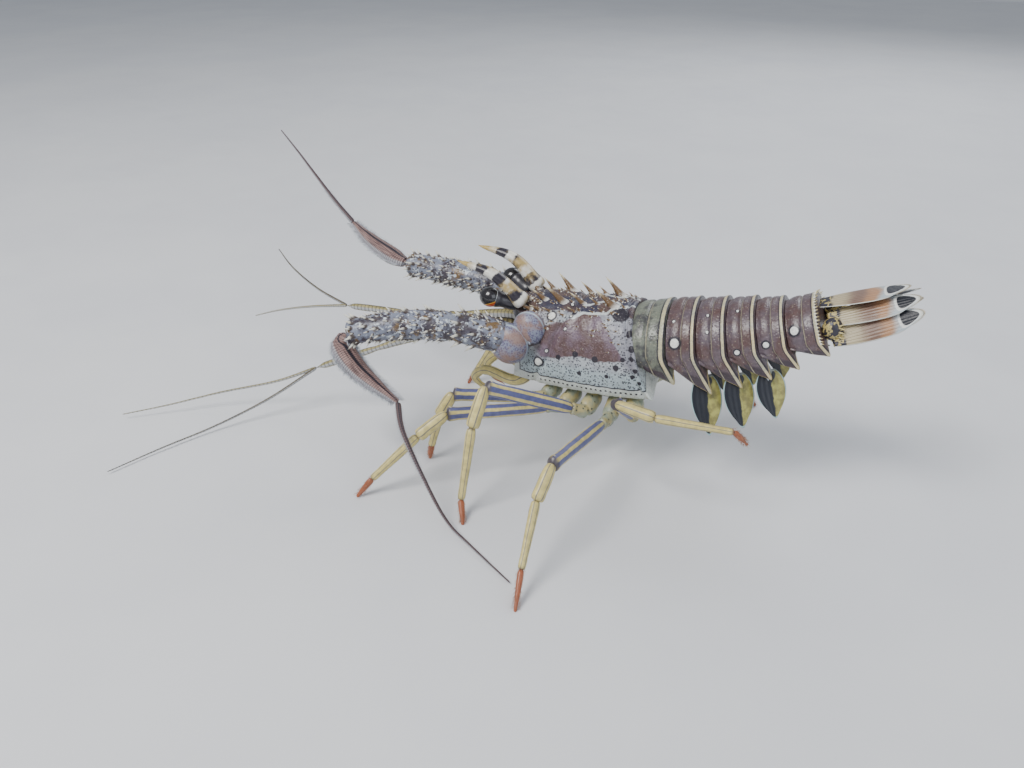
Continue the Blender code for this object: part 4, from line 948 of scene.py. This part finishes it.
# White spots of the tail: segment, share along, share round its outline, radius in millimetres
TAIL_SPOTS = [(1, 0.34, 0.192, 2.6), (5, 0.27, 0.205, 2.3), (4, 0.30, 0.165, 1.7),
              (3, 0.35, 0.15, 1.4), (1, 0.26, 0.265, 0.9), (2, 0.40, 0.285, 0.9),
              (2, 0.42, 0.225, 0.9), (3, 0.42, 0.30, 0.9)]


class LOBSTER_OT_tail(bpy.types.Operator):
    """Model the six tail segments with their side lobes, bands and spots"""
    bl_idname = "lobster.tail"
    bl_label = "Tail segments"

    def execute(self, context):
        frames = segment_frames()
        finish = band_finish()
        for index in range(6):
            self.segment(index, frames[index], frames[index + 1], finish)
        return {"FINISHED"}

    def segment(self, index, here, following, finish):
        form = Form("first", "groove", "ridge", "low", "band", "edge", "hem", "spot")
        inset = 0.15 * MM / here["length"]
        outlines = {}
        for row in range(SEGMENT_ROWS + 1):
            v = row / SEGMENT_ROWS
            share = inset + v * (1 - 2 * inset)
            if index == 0:
                share = 1 - (1 - share) * FIRST_SEGMENT_REACH
            lobe = curve(v, LOBE_ALONG, False) * LOBE_DEPTHS[index]
            swell = curve(v, SEGMENT_SWELL)
            outlines[row] = segment_outline(here, following, share, lobe, swell)
        middles = {row: sum(points, Vector()) / len(points) for row, points in outlines.items()}
        spots, radii = [FAR_AWAY], [MM]
        for segment, along, around, radius in TAIL_SPOTS:
            if segment == index:
                for way in (around, OUTER_POINTS / OUTLINE_POINTS - around):
                    spots.append(round_outline(outlines[round(along * SEGMENT_ROWS)], way))
                    radii.append(radius * MM)

        def shape(u, v):
            if v < CAP:
                return middles[0].lerp(round_outline(outlines[0], u), v / CAP)
            if v > 1 - CAP:
                rear = round_outline(outlines[SEGMENT_ROWS], u)
                return rear.lerp(middles[SEGMENT_ROWS], (v - 0.97) / CAP)
            return round_outline(outlines[round((v - CAP) / OPEN * SEGMENT_ROWS)], u)

        def tell(place, u, v):
            along = (v - CAP) / OPEN
            step = u * OUTLINE_POINTS
            outer = 1.0 if step < OUTER_POINTS + 0.4 or step > OUTLINE_POINTS - 0.4 else 0.0
            fall = min(step, OUTER_POINTS - step) if step < OUTER_POINTS else 0.0
            return {"groove": bump(along, 0.505, 0.016) * outer,
                    "ridge": bump(along, 0.55, 0.020) * outer,
                    "low": bump(fall, 1.1, 0.75) * ease((0.86 - along) / 0.05)
                    * ease((along - 0.3) / 0.1) * outer,
                    "band": ease((along - 0.865) / 0.03) * ease((0.972 - along) / 0.012) * outer,
                    "edge": (bump(along, 0.850, 0.016) + bump(along, 0.985, 0.010)) * outer,
                    "hem": ease((0.42 - fall) / 0.2) * outer, "first": 1.0 if index == 0 else 0.0,
                    "spot": nearest_mark(place, spots, radii)}

        form.sheet(SEGMENT_COLUMNS, round(SEGMENT_ROWS / OPEN + 0.5), shape, tell)
        if index == 5:
            dice = random.Random(sizes().scatter + 5)
            for step in range(34):
                around = 0.13 + 0.47 * step / 33
                root = round_outline(outlines[SEGMENT_ROWS - 2], around)
                form.spine(root, here["along"] + (root - middles[SEGMENT_ROWS]).normalized() * 0.5,
                           dice.uniform(1.2, 2.6) * MM, 0.24, None, (0.3, 0.9), 6, 3)
        form.done("tail_segment_%d" % (index + 1), finish, "abdomen_shell",
                  "abdomen_%d" % (index + 1))


# Blades of the fan: root, tip, half width and roll in degrees; each point is along, aside and up
TELSON_MM = ((1.0, 0, 13.5), (46, 0, 11.5), 9.5, 0)
INNER_BLADE_MM = ((4, 9.8, 6.8), (50, 6.2, 6.4), 6.9, 32)
OUTER_BLADE_MM = ((4, 15.5, -2.2), (50, 9.5, -0.6), 7.2, 50)
KNOB_MM = (5.5, 13, 2.5)
BLADE_WIDTHS = [(0.0, 0.62), (0.16, 0.82), (0.34, 0.95), (0.55, 1.0), (0.74, 0.98), (0.89, 0.86),
                (1.0, 0.62)]
LEAF_WIDTHS = [(0.0, 0.45), (0.14, 0.80), (0.36, 1.0), (0.62, 0.92), (0.85, 0.64), (1.0, 0.34)]
BLADE_THICKNESS = 1.3 * MM


def add_blade(form, root, along, side, up, length, half, bow, rays, widths, columns=48, rows=44):
    """A thin blade with raised rays: upper face, rim and lower face as one closed sheet."""
    def centre(v, share):
        width = curve(share, widths, False)
        reach = length * share * (1 - 0.16 * v * v * share)
        return root + along * reach + side * (half * width * v) + up * bow(share, v * width)

    def shape(u, w):
        upper = u < 0.5
        v = (4 * u - 1) if upper else (3 - 4 * u)
        thick = BLADE_THICKNESS * (1 - 0.5 * w) * (1 - 0.75 * abs(v) ** 8) * (1 - 0.6 * w ** 10)
        ridge = 0.84 + 0.16 * math.cos(math.pi * rays * v * 2)
        if w in (0.0, 1.0):
            thick = 0.0
        return centre(v, w) + up * (thick * ridge / 2 * (1 if upper else -1) * (1 - abs(v) ** 24))

    def tell(place, u, w):
        v = (4 * u - 1) if u < 0.5 else (3 - 4 * u)
        return {"reach": w, "across": v,
                "rim": max(ease((abs(v) - 0.90) / 0.06), ease((w - 0.96) / 0.02))}

    form.sheet(columns * 2, rows, shape, tell)
    return centre


class LOBSTER_OT_fan(bpy.types.Operator):
    """Model the folded tail fan"""
    bl_idname = "lobster.fan"
    bl_label = "Tail fan"

    def execute(self, context):
        here = segment_frames()[6]
        finish = fan_finish()
        hair = hair_finish("fan_fringe_hair", (0.42, 0.36, 0.26, 1), colour_of("bristle"))
        fringe = Form()
        form = Form("reach", "across", "rim")
        self.blade(form, fringe, here, TELSON_MM, 1, 5)
        form.done("telson_blade", finish, "tail_fan", "telson")
        for name, sign in (("left", -1), ("right", 1)):
            form = Form("reach", "across", "rim")
            self.blade(form, fringe, here, INNER_BLADE_MM, sign, 4)
            self.blade(form, fringe, here, OUTER_BLADE_MM, sign, 4)
            along, side, up = KNOB_MM
            middle = here["start"] + (here["along"] * along + here["side"] * side * sign
                                      + here["up"] * up) * MM
            form.ball(middle, (5.5 * MM, 5.2 * MM, 6.4 * MM), tell=lambda co, u, v: {"reach": 0.02})
            dice = random.Random(sizes().scatter + 30)
            for _ in range(26):
                out = Vector((dice.uniform(-0.3, 1), dice.uniform(-0.4, 1) * sign,
                              dice.uniform(-1, 1))).normalized()
                form.spine(middle + out * 5.3 * MM, out + here["along"] * 0.8,
                           dice.uniform(1.6, 3.2) * MM, 0.24, None, (0.2, 0.05), 6, 3)
            form.done("uropod_blades_" + name, finish, "tail_fan", "uropod_" + name)
        fringe.done("fan_fringe", hair, "tail_fan")
        return {"FINISHED"}

    def blade(self, form, fringe, here, shape, sign, rays):
        (a0, s0, u0), (a1, s1, u1), half, roll = shape

        def place(along, side, up):
            return here["start"] + (here["along"] * along + here["side"] * side * sign
                                    + here["up"] * up) * MM

        root, tip = place(a0, s0, u0), place(a1, s1, u1)
        along = (tip - root).normalized()
        turn = math.radians(roll)
        across = here["side"] * math.cos(turn) - here["up"] * math.sin(turn) * sign
        across = (across - along * across.dot(along)).normalized()
        normal = along.cross(across)
        centre = add_blade(form, root, along, across, normal, (tip - root).length, half * MM,
                           lambda share, v: -0.8 * MM * v * v * (0.4 + share), rays, BLADE_WIDTHS)
        for step in range(BLADE_HAIRS):
            v = -1 + 2 * step / (BLADE_HAIRS - 1)
            edge = centre(v, 0.995)
            fringe.bristle(edge, along + across * v * 0.5, sizes().bristle_length * 0.35)


LEAF_LENGTHS_MM = [36, 32, 28, 19]
LEAF_HALVES_MM = [9.0, 8.8, 8.4, 6.0]
LEAF_STEM_RADII = [(0, 0.2), (0.06, 3.2), (0.6, 2.7), (0.95, 1.6), (1, 0.2)]
LEAF_SPREADS = [0.62, 0.62, 0.62, 0.36]


def swimmeret_frames(frames, index, sign):
    """Root, top and directions of one swimmeret."""
    here = frames[index]
    side = here["side"] * sign
    spread = LEAF_SPREADS[index - 1]
    if index == 4:
        along = (here["along"] - here["up"] * 0.10).normalized()
        across = here["side"]
        offset = here["along"] * 5.0 - here["up"] * 5.0
    else:
        along = (-here["up"] + side * 0.26 + here["along"] * 0.05).normalized()
        across = here["along"] - side * 0.45
        across = (across - along * across.dot(along)).normalized()
        offset = here["along"] * 7.0 + side * 2.0 - here["up"] * 11.5
    root = (here["start"] + here["along"] * here["length"] * 0.75 + side * here["half"] * spread
            + here["up"] * (BELLY_LEVEL * here["height"] + 2.0 * MM))
    return root, root + offset * MM, along, across


class LOBSTER_OT_swimmerets(bpy.types.Operator):
    """Model the leaf-shaped swimmerets under the tail"""
    bl_idname = "lobster.swimmerets"
    bl_label = "Swimmerets"

    def execute(self, context):
        frames = segment_frames()
        finish = leaf_finish()
        for index in range(1, 5):
            for name, sign in (("left", -1), ("right", 1)):
                root, top, along, across = swimmeret_frames(frames, index, sign)
                form = Form("reach", "across", "rim")
                length = LEAF_LENGTHS_MM[index - 1] * MM
                half = LEAF_HALVES_MM[index - 1] * MM
                add_blade(form, top, along, across, along.cross(across), length, half,
                          lambda share, v: 0.9 * MM * share * share, 3, LEAF_WIDTHS, 30, 34)
                places = root, root.lerp(top, 0.6), top, top + along * 4 * MM
                form.tube(Line([(place - ORIGIN) / MM for place in places]),
                          lambda v, turn: curve(v, LEAF_STEM_RADII) * MM, 12, 16, across, 0.8)
                form.done("swimmeret_leaf_%d_%s" % (index + 1, name), finish, "swimmeret",
                          "swimmeret_%d_%s" % (index + 1, name))
        return {"FINISHED"}


class LOBSTER_OT_head(bpy.types.Operator):
    """Model the horns and the eyes"""
    bl_idname = "lobster.head"
    bl_label = "Horns and eyes"

    def execute(self, context):
        horn, gloss = horn_finish(), eye_finish()
        for name, sign in (("left", -1), ("right", 1)):
            form = Form()
            line = Line([(x, y * sign, z) for x, y, z in HORN_MM])
            form.tube(line, lambda v, turn: curve(v, HORN_RADII, False) * MM, 28, 60, UP, 0.8)
            form.done("horn_shell_" + name, horn, "horn", "horn_" + name)
            form = Form("crescent", "stem", "rim")
            centre = ORIGIN + Vector((EYE_MM[0], EYE_MM[1] * sign, EYE_MM[2])) * MM
            inward = Vector((16, -sign * 7, -5)).normalized()

            def tell(place, u, v):
                away = (place - centre).normalized()
                below = ease((-away.z * 0.85 + away.x * 0.35 - 0.22) / 0.3)
                outward = ease((away.y * sign + 0.3) / 0.3)
                # rim places a painted highlight: a grey-white reflection crescent on the upper
                # outer side, next to the stalk.
                return {"crescent": below * outward, "stem": 0.0,
                        "rim": (bump(away.dot(inward), 0.55, 0.09) * outward
                                * ease((away.z + 0.35) / 0.2))}

            form.ball(centre, [radius * MM for radius in EYE_RADII_MM], 48, 32, tell)
            stem = [(centre - ORIGIN) / MM + Vector(offset) for offset in
                    ((16, -sign * 7, -5), (8, -sign * 3.5, -2.5), (1, 0, 0))]
            form.tube(Line(stem), lambda v, turn: curve(v, EYE_STEM_RADII) * MM, 20, 20, UP, 1.0,
                      lambda co, u, v: {"crescent": bump(u, 0.75, 0.11), "stem": 1.0, "rim": 0.0})
            form.done("eye_ball_" + name, gloss, "eye", "eye_" + name)
        return {"FINISHED"}


# Radius of the stalk in millimetres at shares of its length, with a waist where its segments meet
STALK_TABLE = [(0, 0.3), (0.04, 4.0), (0.12, 6.5), (0.22, 9.8), (0.30, 10.8), (0.40, 10.0),
               (0.455, 9.2), (0.475, 8.2), (0.50, 9.6), (0.62, 9.6), (0.75, 9.3), (0.86, 8.6),
               (0.96, 7.6), (0.985, 6.4), (1, 0.3)]


# Rings of spines on the stalk: share of its length, number, length in millimetres
STALK_SPINES = [(0.24, 6, 3.5), (0.30, 8, 4.5), (0.36, 9, 5.6), (0.43, 9, 6.4), (0.52, 9, 4.4),
                (0.58, 9, 5.4), (0.64, 9, 4.4), (0.70, 10, 5.4), (0.76, 10, 4.6), (0.82, 10, 5.6),
                (0.88, 10, 5.0), (0.945, 11, 6.6)]
SMALL_STALK_SPINES = 300
STALK_FLATTEN = 0.94
FAR_DOME_TUCK_MM = 4.0            # the upper far lobe sits lower, hidden by the back


class LOBSTER_OT_stalks(bpy.types.Operator):
    """Model the thick spiny stalks of the antennae"""
    bl_idname = "lobster.stalks"
    bl_label = "Antenna stalks"

    def execute(self, context):
        finish = stalk_finish()
        for side, sign in (("left", -1), ("right", 1)):
            dice = random.Random(sizes().scatter + sign)
            line = Line(STALK_MM[side])
            form = Form("dome", "skirt")
            form.tube(line, self.skin, 56, 150, UP, STALK_FLATTEN, self.tell)
            for x, y, z, size in BOSSES_MM:
                tuck = FAR_DOME_TUCK_MM if sign > 0 and z > 80 else 0.0
                self.dome(form, ORIGIN + Vector((x, y * sign - tuck / 2, z - tuck)) * MM,
                          size * MM, sign)
            for share, count, length in STALK_SPINES:
                first = dice.uniform(*ANY_TURN)
                for k in range(count):
                    turn = first + 2 * math.pi * (k + dice.uniform(-0.2, 0.2)) / count
                    place = share + dice.uniform(-0.012, 0.012)
                    reach = length * dice.uniform(0.7, 1.1) * MM * sizes().spine_growth
                    self.thorn(form, line, place, turn, (0.95, 0.8, reach, 0.25, 8, 4))
            for _ in range(SMALL_STALK_SPINES):
                turn, place = dice.uniform(*ANY_TURN), dice.uniform(0.24, 0.96)
                reach = dice.uniform(1.0, 2.6) * MM
                self.thorn(form, line, place, turn, (0.98, 0.9, reach, 0.30, 6, 3))
            form.done("antenna_stalk_shell_" + side, finish, "antenna_stalk",
                      "antenna_%s_base" % side, "antenna_%s_stalk" % side)
        return {"FINISHED"}

    def skin(self, v, turn):
        lumps = 1 + 0.03 * math.sin(3 * turn) * bump(v, 0.6, 0.3)
        return curve(v, STALK_TABLE, False) * MM * lumps

    def tell(self, co, u, v):
        return {"dome": 0.0, "skirt": bump(u, 0.75, 0.10) * ease((0.5 - v) / 0.1)}

    def thorn(self, form, line, place, turn, build):
        """One spine of the stalk, which leans towards the stalk's tip."""
        sink, lean, length, thick, sides, rows = build
        middle, tangent, across, up = line.across(place, UP)
        out = across * math.cos(turn) + up * math.sin(turn)
        reach = curve(place, STALK_TABLE, False) * MM * sink
        root = (middle + across * reach * math.cos(turn)
                + up * reach * STALK_FLATTEN * math.sin(turn))
        form.spine(root, out + tangent * lean, length, thick, tangent * 0.2, (0.3, place),
                   sides, rows)

    def dome(self, form, middle, size, sign):
        """A rounded lobe at the stalk's root, flattened against the head, with a pale outline."""
        flat = size * 0.82

        def tell(place, u, v):
            outward = (place.y - middle.y) / flat * sign
            return {"dome": 1.0, "skirt": 0.85 * bump(outward, 0.10, 0.13)}

        form.ball(middle, (size * 1.02, flat, size * 1.08), 56, 36, tell)


def taper(v, thick, loss):
    """Radius of a whip that thins towards its tip and closes at both ends."""
    return (thick - loss * v ** 0.8) * MM * min(1.0, v / 0.01, (1 - v) / 0.01) ** 0.5


class LOBSTER_OT_whips(bpy.types.Operator):
    """Model the folded bases of the antenna whips, the whips and their fringes"""
    bl_idname = "lobster.whips"
    bl_label = "Antenna whips"

    def execute(self, context):
        thick = whip_finish("whip_base_shell", 260.0, colour_of("whip_brown"),
                            (0.42, 0.27, 0.24, 1))
        thin = whip_finish("whip_shell", 560.0, colour_of("whip_brown"), (0.10, 0.07, 0.08, 1))
        hair = hair_finish("whip_fringe_hair", (0.34, 0.32, 0.36, 1), (0.62, 0.66, 0.70, 1))
        for side, sign in (("left", -1), ("right", 1)):
            dice = random.Random(sizes().scatter + 10 + sign)
            fold = Line(WHIP_BASE_MM[side])
            fringe = Form()
            form = Form()
            form.tube(fold, self.folded, 24, 180, UP, 0.7)
            form.done("whip_base_shell_" + side, thick, "antenna_whip",
                      "antenna_%s_whip_base" % side)
            for step in range(FOLD_HAIRS):
                share = 0.05 + 0.93 * step / (FOLD_HAIRS - 1)
                middle, tangent, across, up = fold.across(share, UP)
                for way in (-1, 1):
                    reach = curve(share, WHIP_BASE_RADII) * MM
                    direction = across * way + tangent * 0.7 + up * dice.uniform(-0.3, 0.3)
                    fringe.bristle(middle + across * way * reach * 0.97, direction,
                                   sizes().bristle_length * dice.uniform(0.9, 1.5), 0.00024)
            whip = Line(WHIP_MM[side])
            form = Form()
            form.tube(whip, lambda v, turn: taper(v, 1.9, 1.45), 12, 220, UP, 1.0)
            form.done("whip_shell_" + side, thin, "antenna_whip", "antenna_%s_whip" % side)
            for step in range(WHIP_HAIRS):
                share = 0.02 + 0.30 * step / (WHIP_HAIRS - 1)
                middle, tangent, across, up = whip.across(share, UP)
                for way in (-1, 1):
                    fringe.bristle(middle + across * way * 1.6 * MM, across * way + tangent * 0.8,
                                   sizes().bristle_length * dice.uniform(0.4, 0.8))
            fringe.done("whip_fringe_" + side, hair, "antenna_whip")
        return {"FINISHED"}

    def folded(self, v, turn):
        """Radius of the ringed base of a whip, closed at both ends."""
        return (curve(v, WHIP_BASE_RADII) * (1 + 0.03 * math.sin(v * 260))
                * (min(1.0, v / 0.04, (1.0 - v) / 0.02) ** 0.5)) * MM


class LOBSTER_OT_feelers(bpy.types.Operator):
    """Model the antennules with their thin whips"""
    bl_idname = "lobster.feelers"
    bl_label = "Feelers"

    def execute(self, context):
        olive = whip_finish("feeler_shell", 300.0, colour_of("olive"), (0.45, 0.38, 0.18, 1))
        dark = whip_finish("feeler_whip_shell", 420.0, (0.05, 0.045, 0.045, 1),
                           (0.22, 0.18, 0.08, 1))
        for side in ("left", "right"):
            form = Form()
            form.tube(Line(FEELER_STALK_MM[side]), lambda v, turn: curve(v, FEELER_RADII) * MM,
                      18, 90, UP)
            form.done("feeler_stalk_shell_" + side, olive, "antennule", "feeler_%s_stalk" % side)
            for name, finish in (("outer", dark), ("inner", olive)):
                form = Form()
                form.tube(Line(FEELER_WHIPS_MM["%s_%s" % (side, name)]),
                          lambda v, turn: taper(v, 1.1, 0.75), 10, 160, UP)
                form.done("feeler_whip_%s_%s" % (side, name), finish, "antennule",
                          "feeler_%s_%s" % (side, name))
        return {"FINISHED"}


def limb_marks(plain=1.0, root=0.0, foot=0.0):
    return {"plain": plain, "root": root, "foot": foot}


def article(form, points, table, plane, told, flatten=0.85, around=20, along=30):
    """One limb segment that closes at both ends."""
    form.tube(Line(points, smooth=False), lambda v, turn: curve(v, table) * MM, around, along,
              plane, flatten, lambda co, u, v: told)


class LOBSTER_OT_legs(bpy.types.Operator):
    """Model the ten walking legs with their bristly feet, and the outer mouthparts"""
    bl_idname = "lobster.legs"
    bl_label = "Legs and mouthparts"

    def execute(self, context):
        finish = leg_finish()
        hair = hair_finish("foot_bristles", colour_of("foot_red"), (0.50, 0.26, 0.12, 1))
        for number, (name, points) in enumerate(LEGS_MM.items()):
            self.leg(name, points, finish, hair, random.Random(sizes().scatter + number))
        for side, sign in (("left", -1), ("right", 1)):
            form = Form("plain", "root", "foot")
            form.tube(Line([(x, sign * y, z) for x, y, z in MOUTHPART_MM]), lambda v,
                      turn: curve(v, MOUTHPART_RADII) * MM, 18, 70, Vector((0, 1, 0)), 0.8,
                      lambda co, u, v: limb_marks(foot=ease((v - 0.8) / 0.15)))
            form.done("mouthpart_" + side, finish, "leg", "maxilliped_" + side)
        return {"FINISHED"}

    def leg(self, name, points, finish, hair, dice):
        root, coxa, knee, wrist, hand, foot = [Vector(point) for point in points]
        plane = (knee - root).cross(foot - knee).normalized()
        thigh, palm = knee - coxa, hand - wrist
        r, c = MERUS_RADIUS_MM, COXA_RADIUS_MM
        upper = Form("plain", "root", "foot")
        hip = [(0, 0.3), (0.05, c * 0.8), (0.5, c), (0.9, c * 0.86), (1, 0.3)]
        article(upper, [root, coxa], hip, plane, limb_marks(root=1.0))
        collar = [(0, 0.3), (0.12, c * 0.72), (0.7, c * 0.62), (0.9, r * 0.8), (1, 0.3)]
        article(upper, [coxa - thigh * 0.03, coxa + thigh * 0.16], collar, plane,
                limb_marks(root=0.8))
        merus = [(0, 0.3), (0.04, r * 0.74), (0.2, r * 0.96), (0.6, r), (0.88, r * 0.96),
                 (0.955, r * 1.06), (0.985, r * 0.9), (1, 0.3)]
        article(upper, [coxa + thigh * 0.12, knee], merus, plane, limb_marks(plain=0.0), 0.8,
                24, 60)
        forward = thigh.normalized()
        rise = (UP - forward * forward.z).normalized()
        upper.spine(ORIGIN + (coxa + thigh * 0.945 + rise * r * 0.85) * MM, rise + forward * 1.4,
                    3.6 * MM, 0.25, None, (0.1, 0.5), 8, 4)
        upper.done("leg_%s_thigh" % name, finish, "leg", "leg_%s_upper" % name)

        lower = Form("plain", "root", "foot")
        shin = [(0, 0.3), (0.06, r * 0.62), (0.3, r * 0.92), (0.7, r * 0.95), (0.93, r * 0.86),
                (1, 0.3)]
        article(lower, [knee - (wrist - knee).normalized() * 1.5, wrist + palm * 0.02], shin,
                plane, limb_marks())
        long = [(0, 0.3), (0.05, r * 0.62), (0.3, r * 0.68), (0.8, r * 0.55), (0.96, r * 0.5),
                (1, 0.3)]
        article(lower, [wrist - palm * 0.03, hand + (foot - hand) * 0.05], long, plane,
                limb_marks(), along=50)
        tip = [(0, 0.3), (0.08, r * 0.42), (0.5, r * 0.40),
               (0.85, 0.8 if name == "left_5" else 1.15), (0.985, 0.9), (1, 0.3)]
        article(lower, [hand - palm.normalized() * 0.5, foot], tip, plane, limb_marks(foot=1.0),
                around=16)
        for vert in lower.bm.verts:             # the feet rest on the floor
            vert.co.z = max(vert.co.z, 0.0)
        lower.done("leg_%s_shin" % name, finish, "leg", "leg_%s_lower" % name)
        bristles = Form()
        toe = Line([hand - palm.normalized() * 3, hand, foot], smooth=False)
        for _ in range(FOOT_HAIRS):
            share, turn = dice.uniform(0.05, 0.9), dice.uniform(*ANY_TURN)
            middle, tangent, across, up = toe.across(share, plane)
            out = across * math.cos(turn) + up * math.sin(turn)
            start = middle + out * 1.3 * MM
            direction = out * 0.8 + tangent
            length = sizes().bristle_length * dice.uniform(0.4, 0.9)
            end = start + direction.normalized() * length
            if end.z > 0.3 * MM:
                bristles.bristle(start, direction, length, 0.00009)
        bristles.done("leg_%s_bristles" % name, hair, "leg")


class LOBSTER_OT_underside(bpy.types.Operator):
    """Finish the breast plate between the legs"""
    bl_idname = "lobster.underside"
    bl_label = "Breast plate"

    def execute(self, context):
        paint = Finish("breast_plate")
        colour = paint.over(paint.span(paint.grain(120, 5), 0.4, 0.6), (0.42, 0.42, 0.36, 1),
                            (0.26, 0.24, 0.20, 1))
        colour = paint.over(paint.span(paint.cells(260), 0.3, 0.15), colour, (0.10, 0.08, 0.09, 1))
        rough = paint.clouds(150, 4, 0.35, 0.55)
        material = paint.cover(colour, rough, paint.grain(400, 4), 0.0004, 0.5)
        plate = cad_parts["sternum"]
        plate.data.materials.clear()
        plate.data.materials.append(material)
        return {"FINISHED"}


# Soft lamps: name, place in metres, watts, width in metres, colour
LAMPS = (("key", (-0.5, -0.9, 1.5), 32, 0.8, (1.0, 0.98, 0.95)),
         ("fill", (1.3, -0.9, 0.9), 9, 1.2, (0.88, 0.93, 1.0)),
         ("rear", (0.3, 1.4, 1.1), 12, 1.0, (0.95, 0.97, 1.0)))
VIEW_AZIMUTH, VIEW_ELEVATION = 24, 30      # degrees, as in the photo
LENS_MM, SENSOR_MM = 30, 36
CAMERA_MM = (152.8, -450.0, 312.3)         # from the middle of the thorax, at floor level
LOOK_AT = Vector((0, 0, 0.05))


class LOBSTER_OT_stage(bpy.types.Operator):
    """Set the pale floor, the soft lights and the camera"""
    bl_idname = "lobster.stage"
    bl_label = "Floor, light and camera"

    def execute(self, context):
        scene = context.scene
        paint = Finish("pale_floor")
        colour = paint.over(paint.span(paint.grain(6, 5), 0.3, 0.7), colour_of("floor"),
                            (0.70, 0.71, 0.74, 1))
        rough = paint.clouds(30, 4, 0.55, 0.75)
        material = paint.cover(colour, rough, paint.grain(120, 3), 0.0002, 0.2)
        bm = bmesh.new()
        bmesh.ops.create_grid(bm, x_segments=8, y_segments=8, size=sizes().floor_width / 2)
        mesh = bpy.data.meshes.new("floor")
        bm.to_mesh(mesh)
        bm.free()
        mesh.materials.append(material)
        floor = bpy.data.objects.new("floor", mesh)
        scene.collection.objects.link(floor)

        world = bpy.data.worlds.new("studio")
        world.use_nodes = True
        sky = world.node_tree.nodes["Background"]
        sky.inputs["Color"].default_value = (0.80, 0.86, 0.95, 1)
        sky.inputs["Strength"].default_value = 0.42
        scene.world = world
        for name, place, power, width, colour in LAMPS:
            lamp = bpy.data.lights.new(name, "AREA")
            lamp.energy = power
            lamp.size = width
            lamp.color = colour
            holder = bpy.data.objects.new(name, lamp)
            holder.location = place
            holder.rotation_euler = (LOOK_AT - Vector(place)).to_track_quat("-Z", "Y").to_euler()
            scene.collection.objects.link(holder)

        lens = bpy.data.cameras.new("camera")
        lens.lens, lens.sensor_width = LENS_MM, SENSOR_MM
        camera = bpy.data.objects.new("camera", lens)
        azimuth, elevation = math.radians(VIEW_AZIMUTH), math.radians(VIEW_ELEVATION)
        back = Vector((math.sin(azimuth) * math.cos(elevation),
                       -math.cos(azimuth) * math.cos(elevation), math.sin(elevation)))
        right = Vector((math.cos(azimuth), math.sin(azimuth), 0))
        turn = Matrix((right, back.cross(right), back)).transposed()
        camera.matrix_world = Matrix.Translation(ORIGIN + Vector(CAMERA_MM) * MM) @ turn.to_4x4()
        scene.collection.objects.link(camera)
        scene.camera = camera
        return {"FINISHED"}


OPERATORS = (LOBSTER_OT_stage, LOBSTER_OT_carapace, LOBSTER_OT_tail, LOBSTER_OT_fan,
             LOBSTER_OT_swimmerets, LOBSTER_OT_head, LOBSTER_OT_stalks, LOBSTER_OT_whips,
             LOBSTER_OT_feelers, LOBSTER_OT_legs, LOBSTER_OT_underside)


class LOBSTER_PT_panel(bpy.types.Panel):
    """Lists the lobster's sizes, colours and pieces"""
    bl_idname = "LOBSTER_PT_panel"
    bl_label = "Spiny lobster"
    bl_space_type = "VIEW_3D"
    bl_region_type = "UI"
    bl_category = "Lobster"

    def draw(self, context):
        for group in (context.scene.lobster_sizes, context.scene.lobster_colours):
            box = self.layout.box()
            for name in group.__annotations__:
                box.prop(group, name)
        for operator in OPERATORS:
            self.layout.operator(operator.bl_idname)


CLASSES = (LobsterSizes, LobsterColours, *OPERATORS, LOBSTER_PT_panel)


def register():
    for item in CLASSES:
        bpy.utils.register_class(item)
    bpy.types.Scene.lobster_sizes = PointerProperty(type=LobsterSizes)
    bpy.types.Scene.lobster_colours = PointerProperty(type=LobsterColours)


def unregister():
    del bpy.types.Scene.lobster_colours
    del bpy.types.Scene.lobster_sizes
    for item in reversed(CLASSES):
        bpy.utils.unregister_class(item)


def main():
    register()
    for operator in OPERATORS:
        group, name = operator.bl_idname.split(".")
        getattr(getattr(bpy.ops, group), name)()
    bpy.context.view_layer.update()


if __name__ == "__main__":
    main()
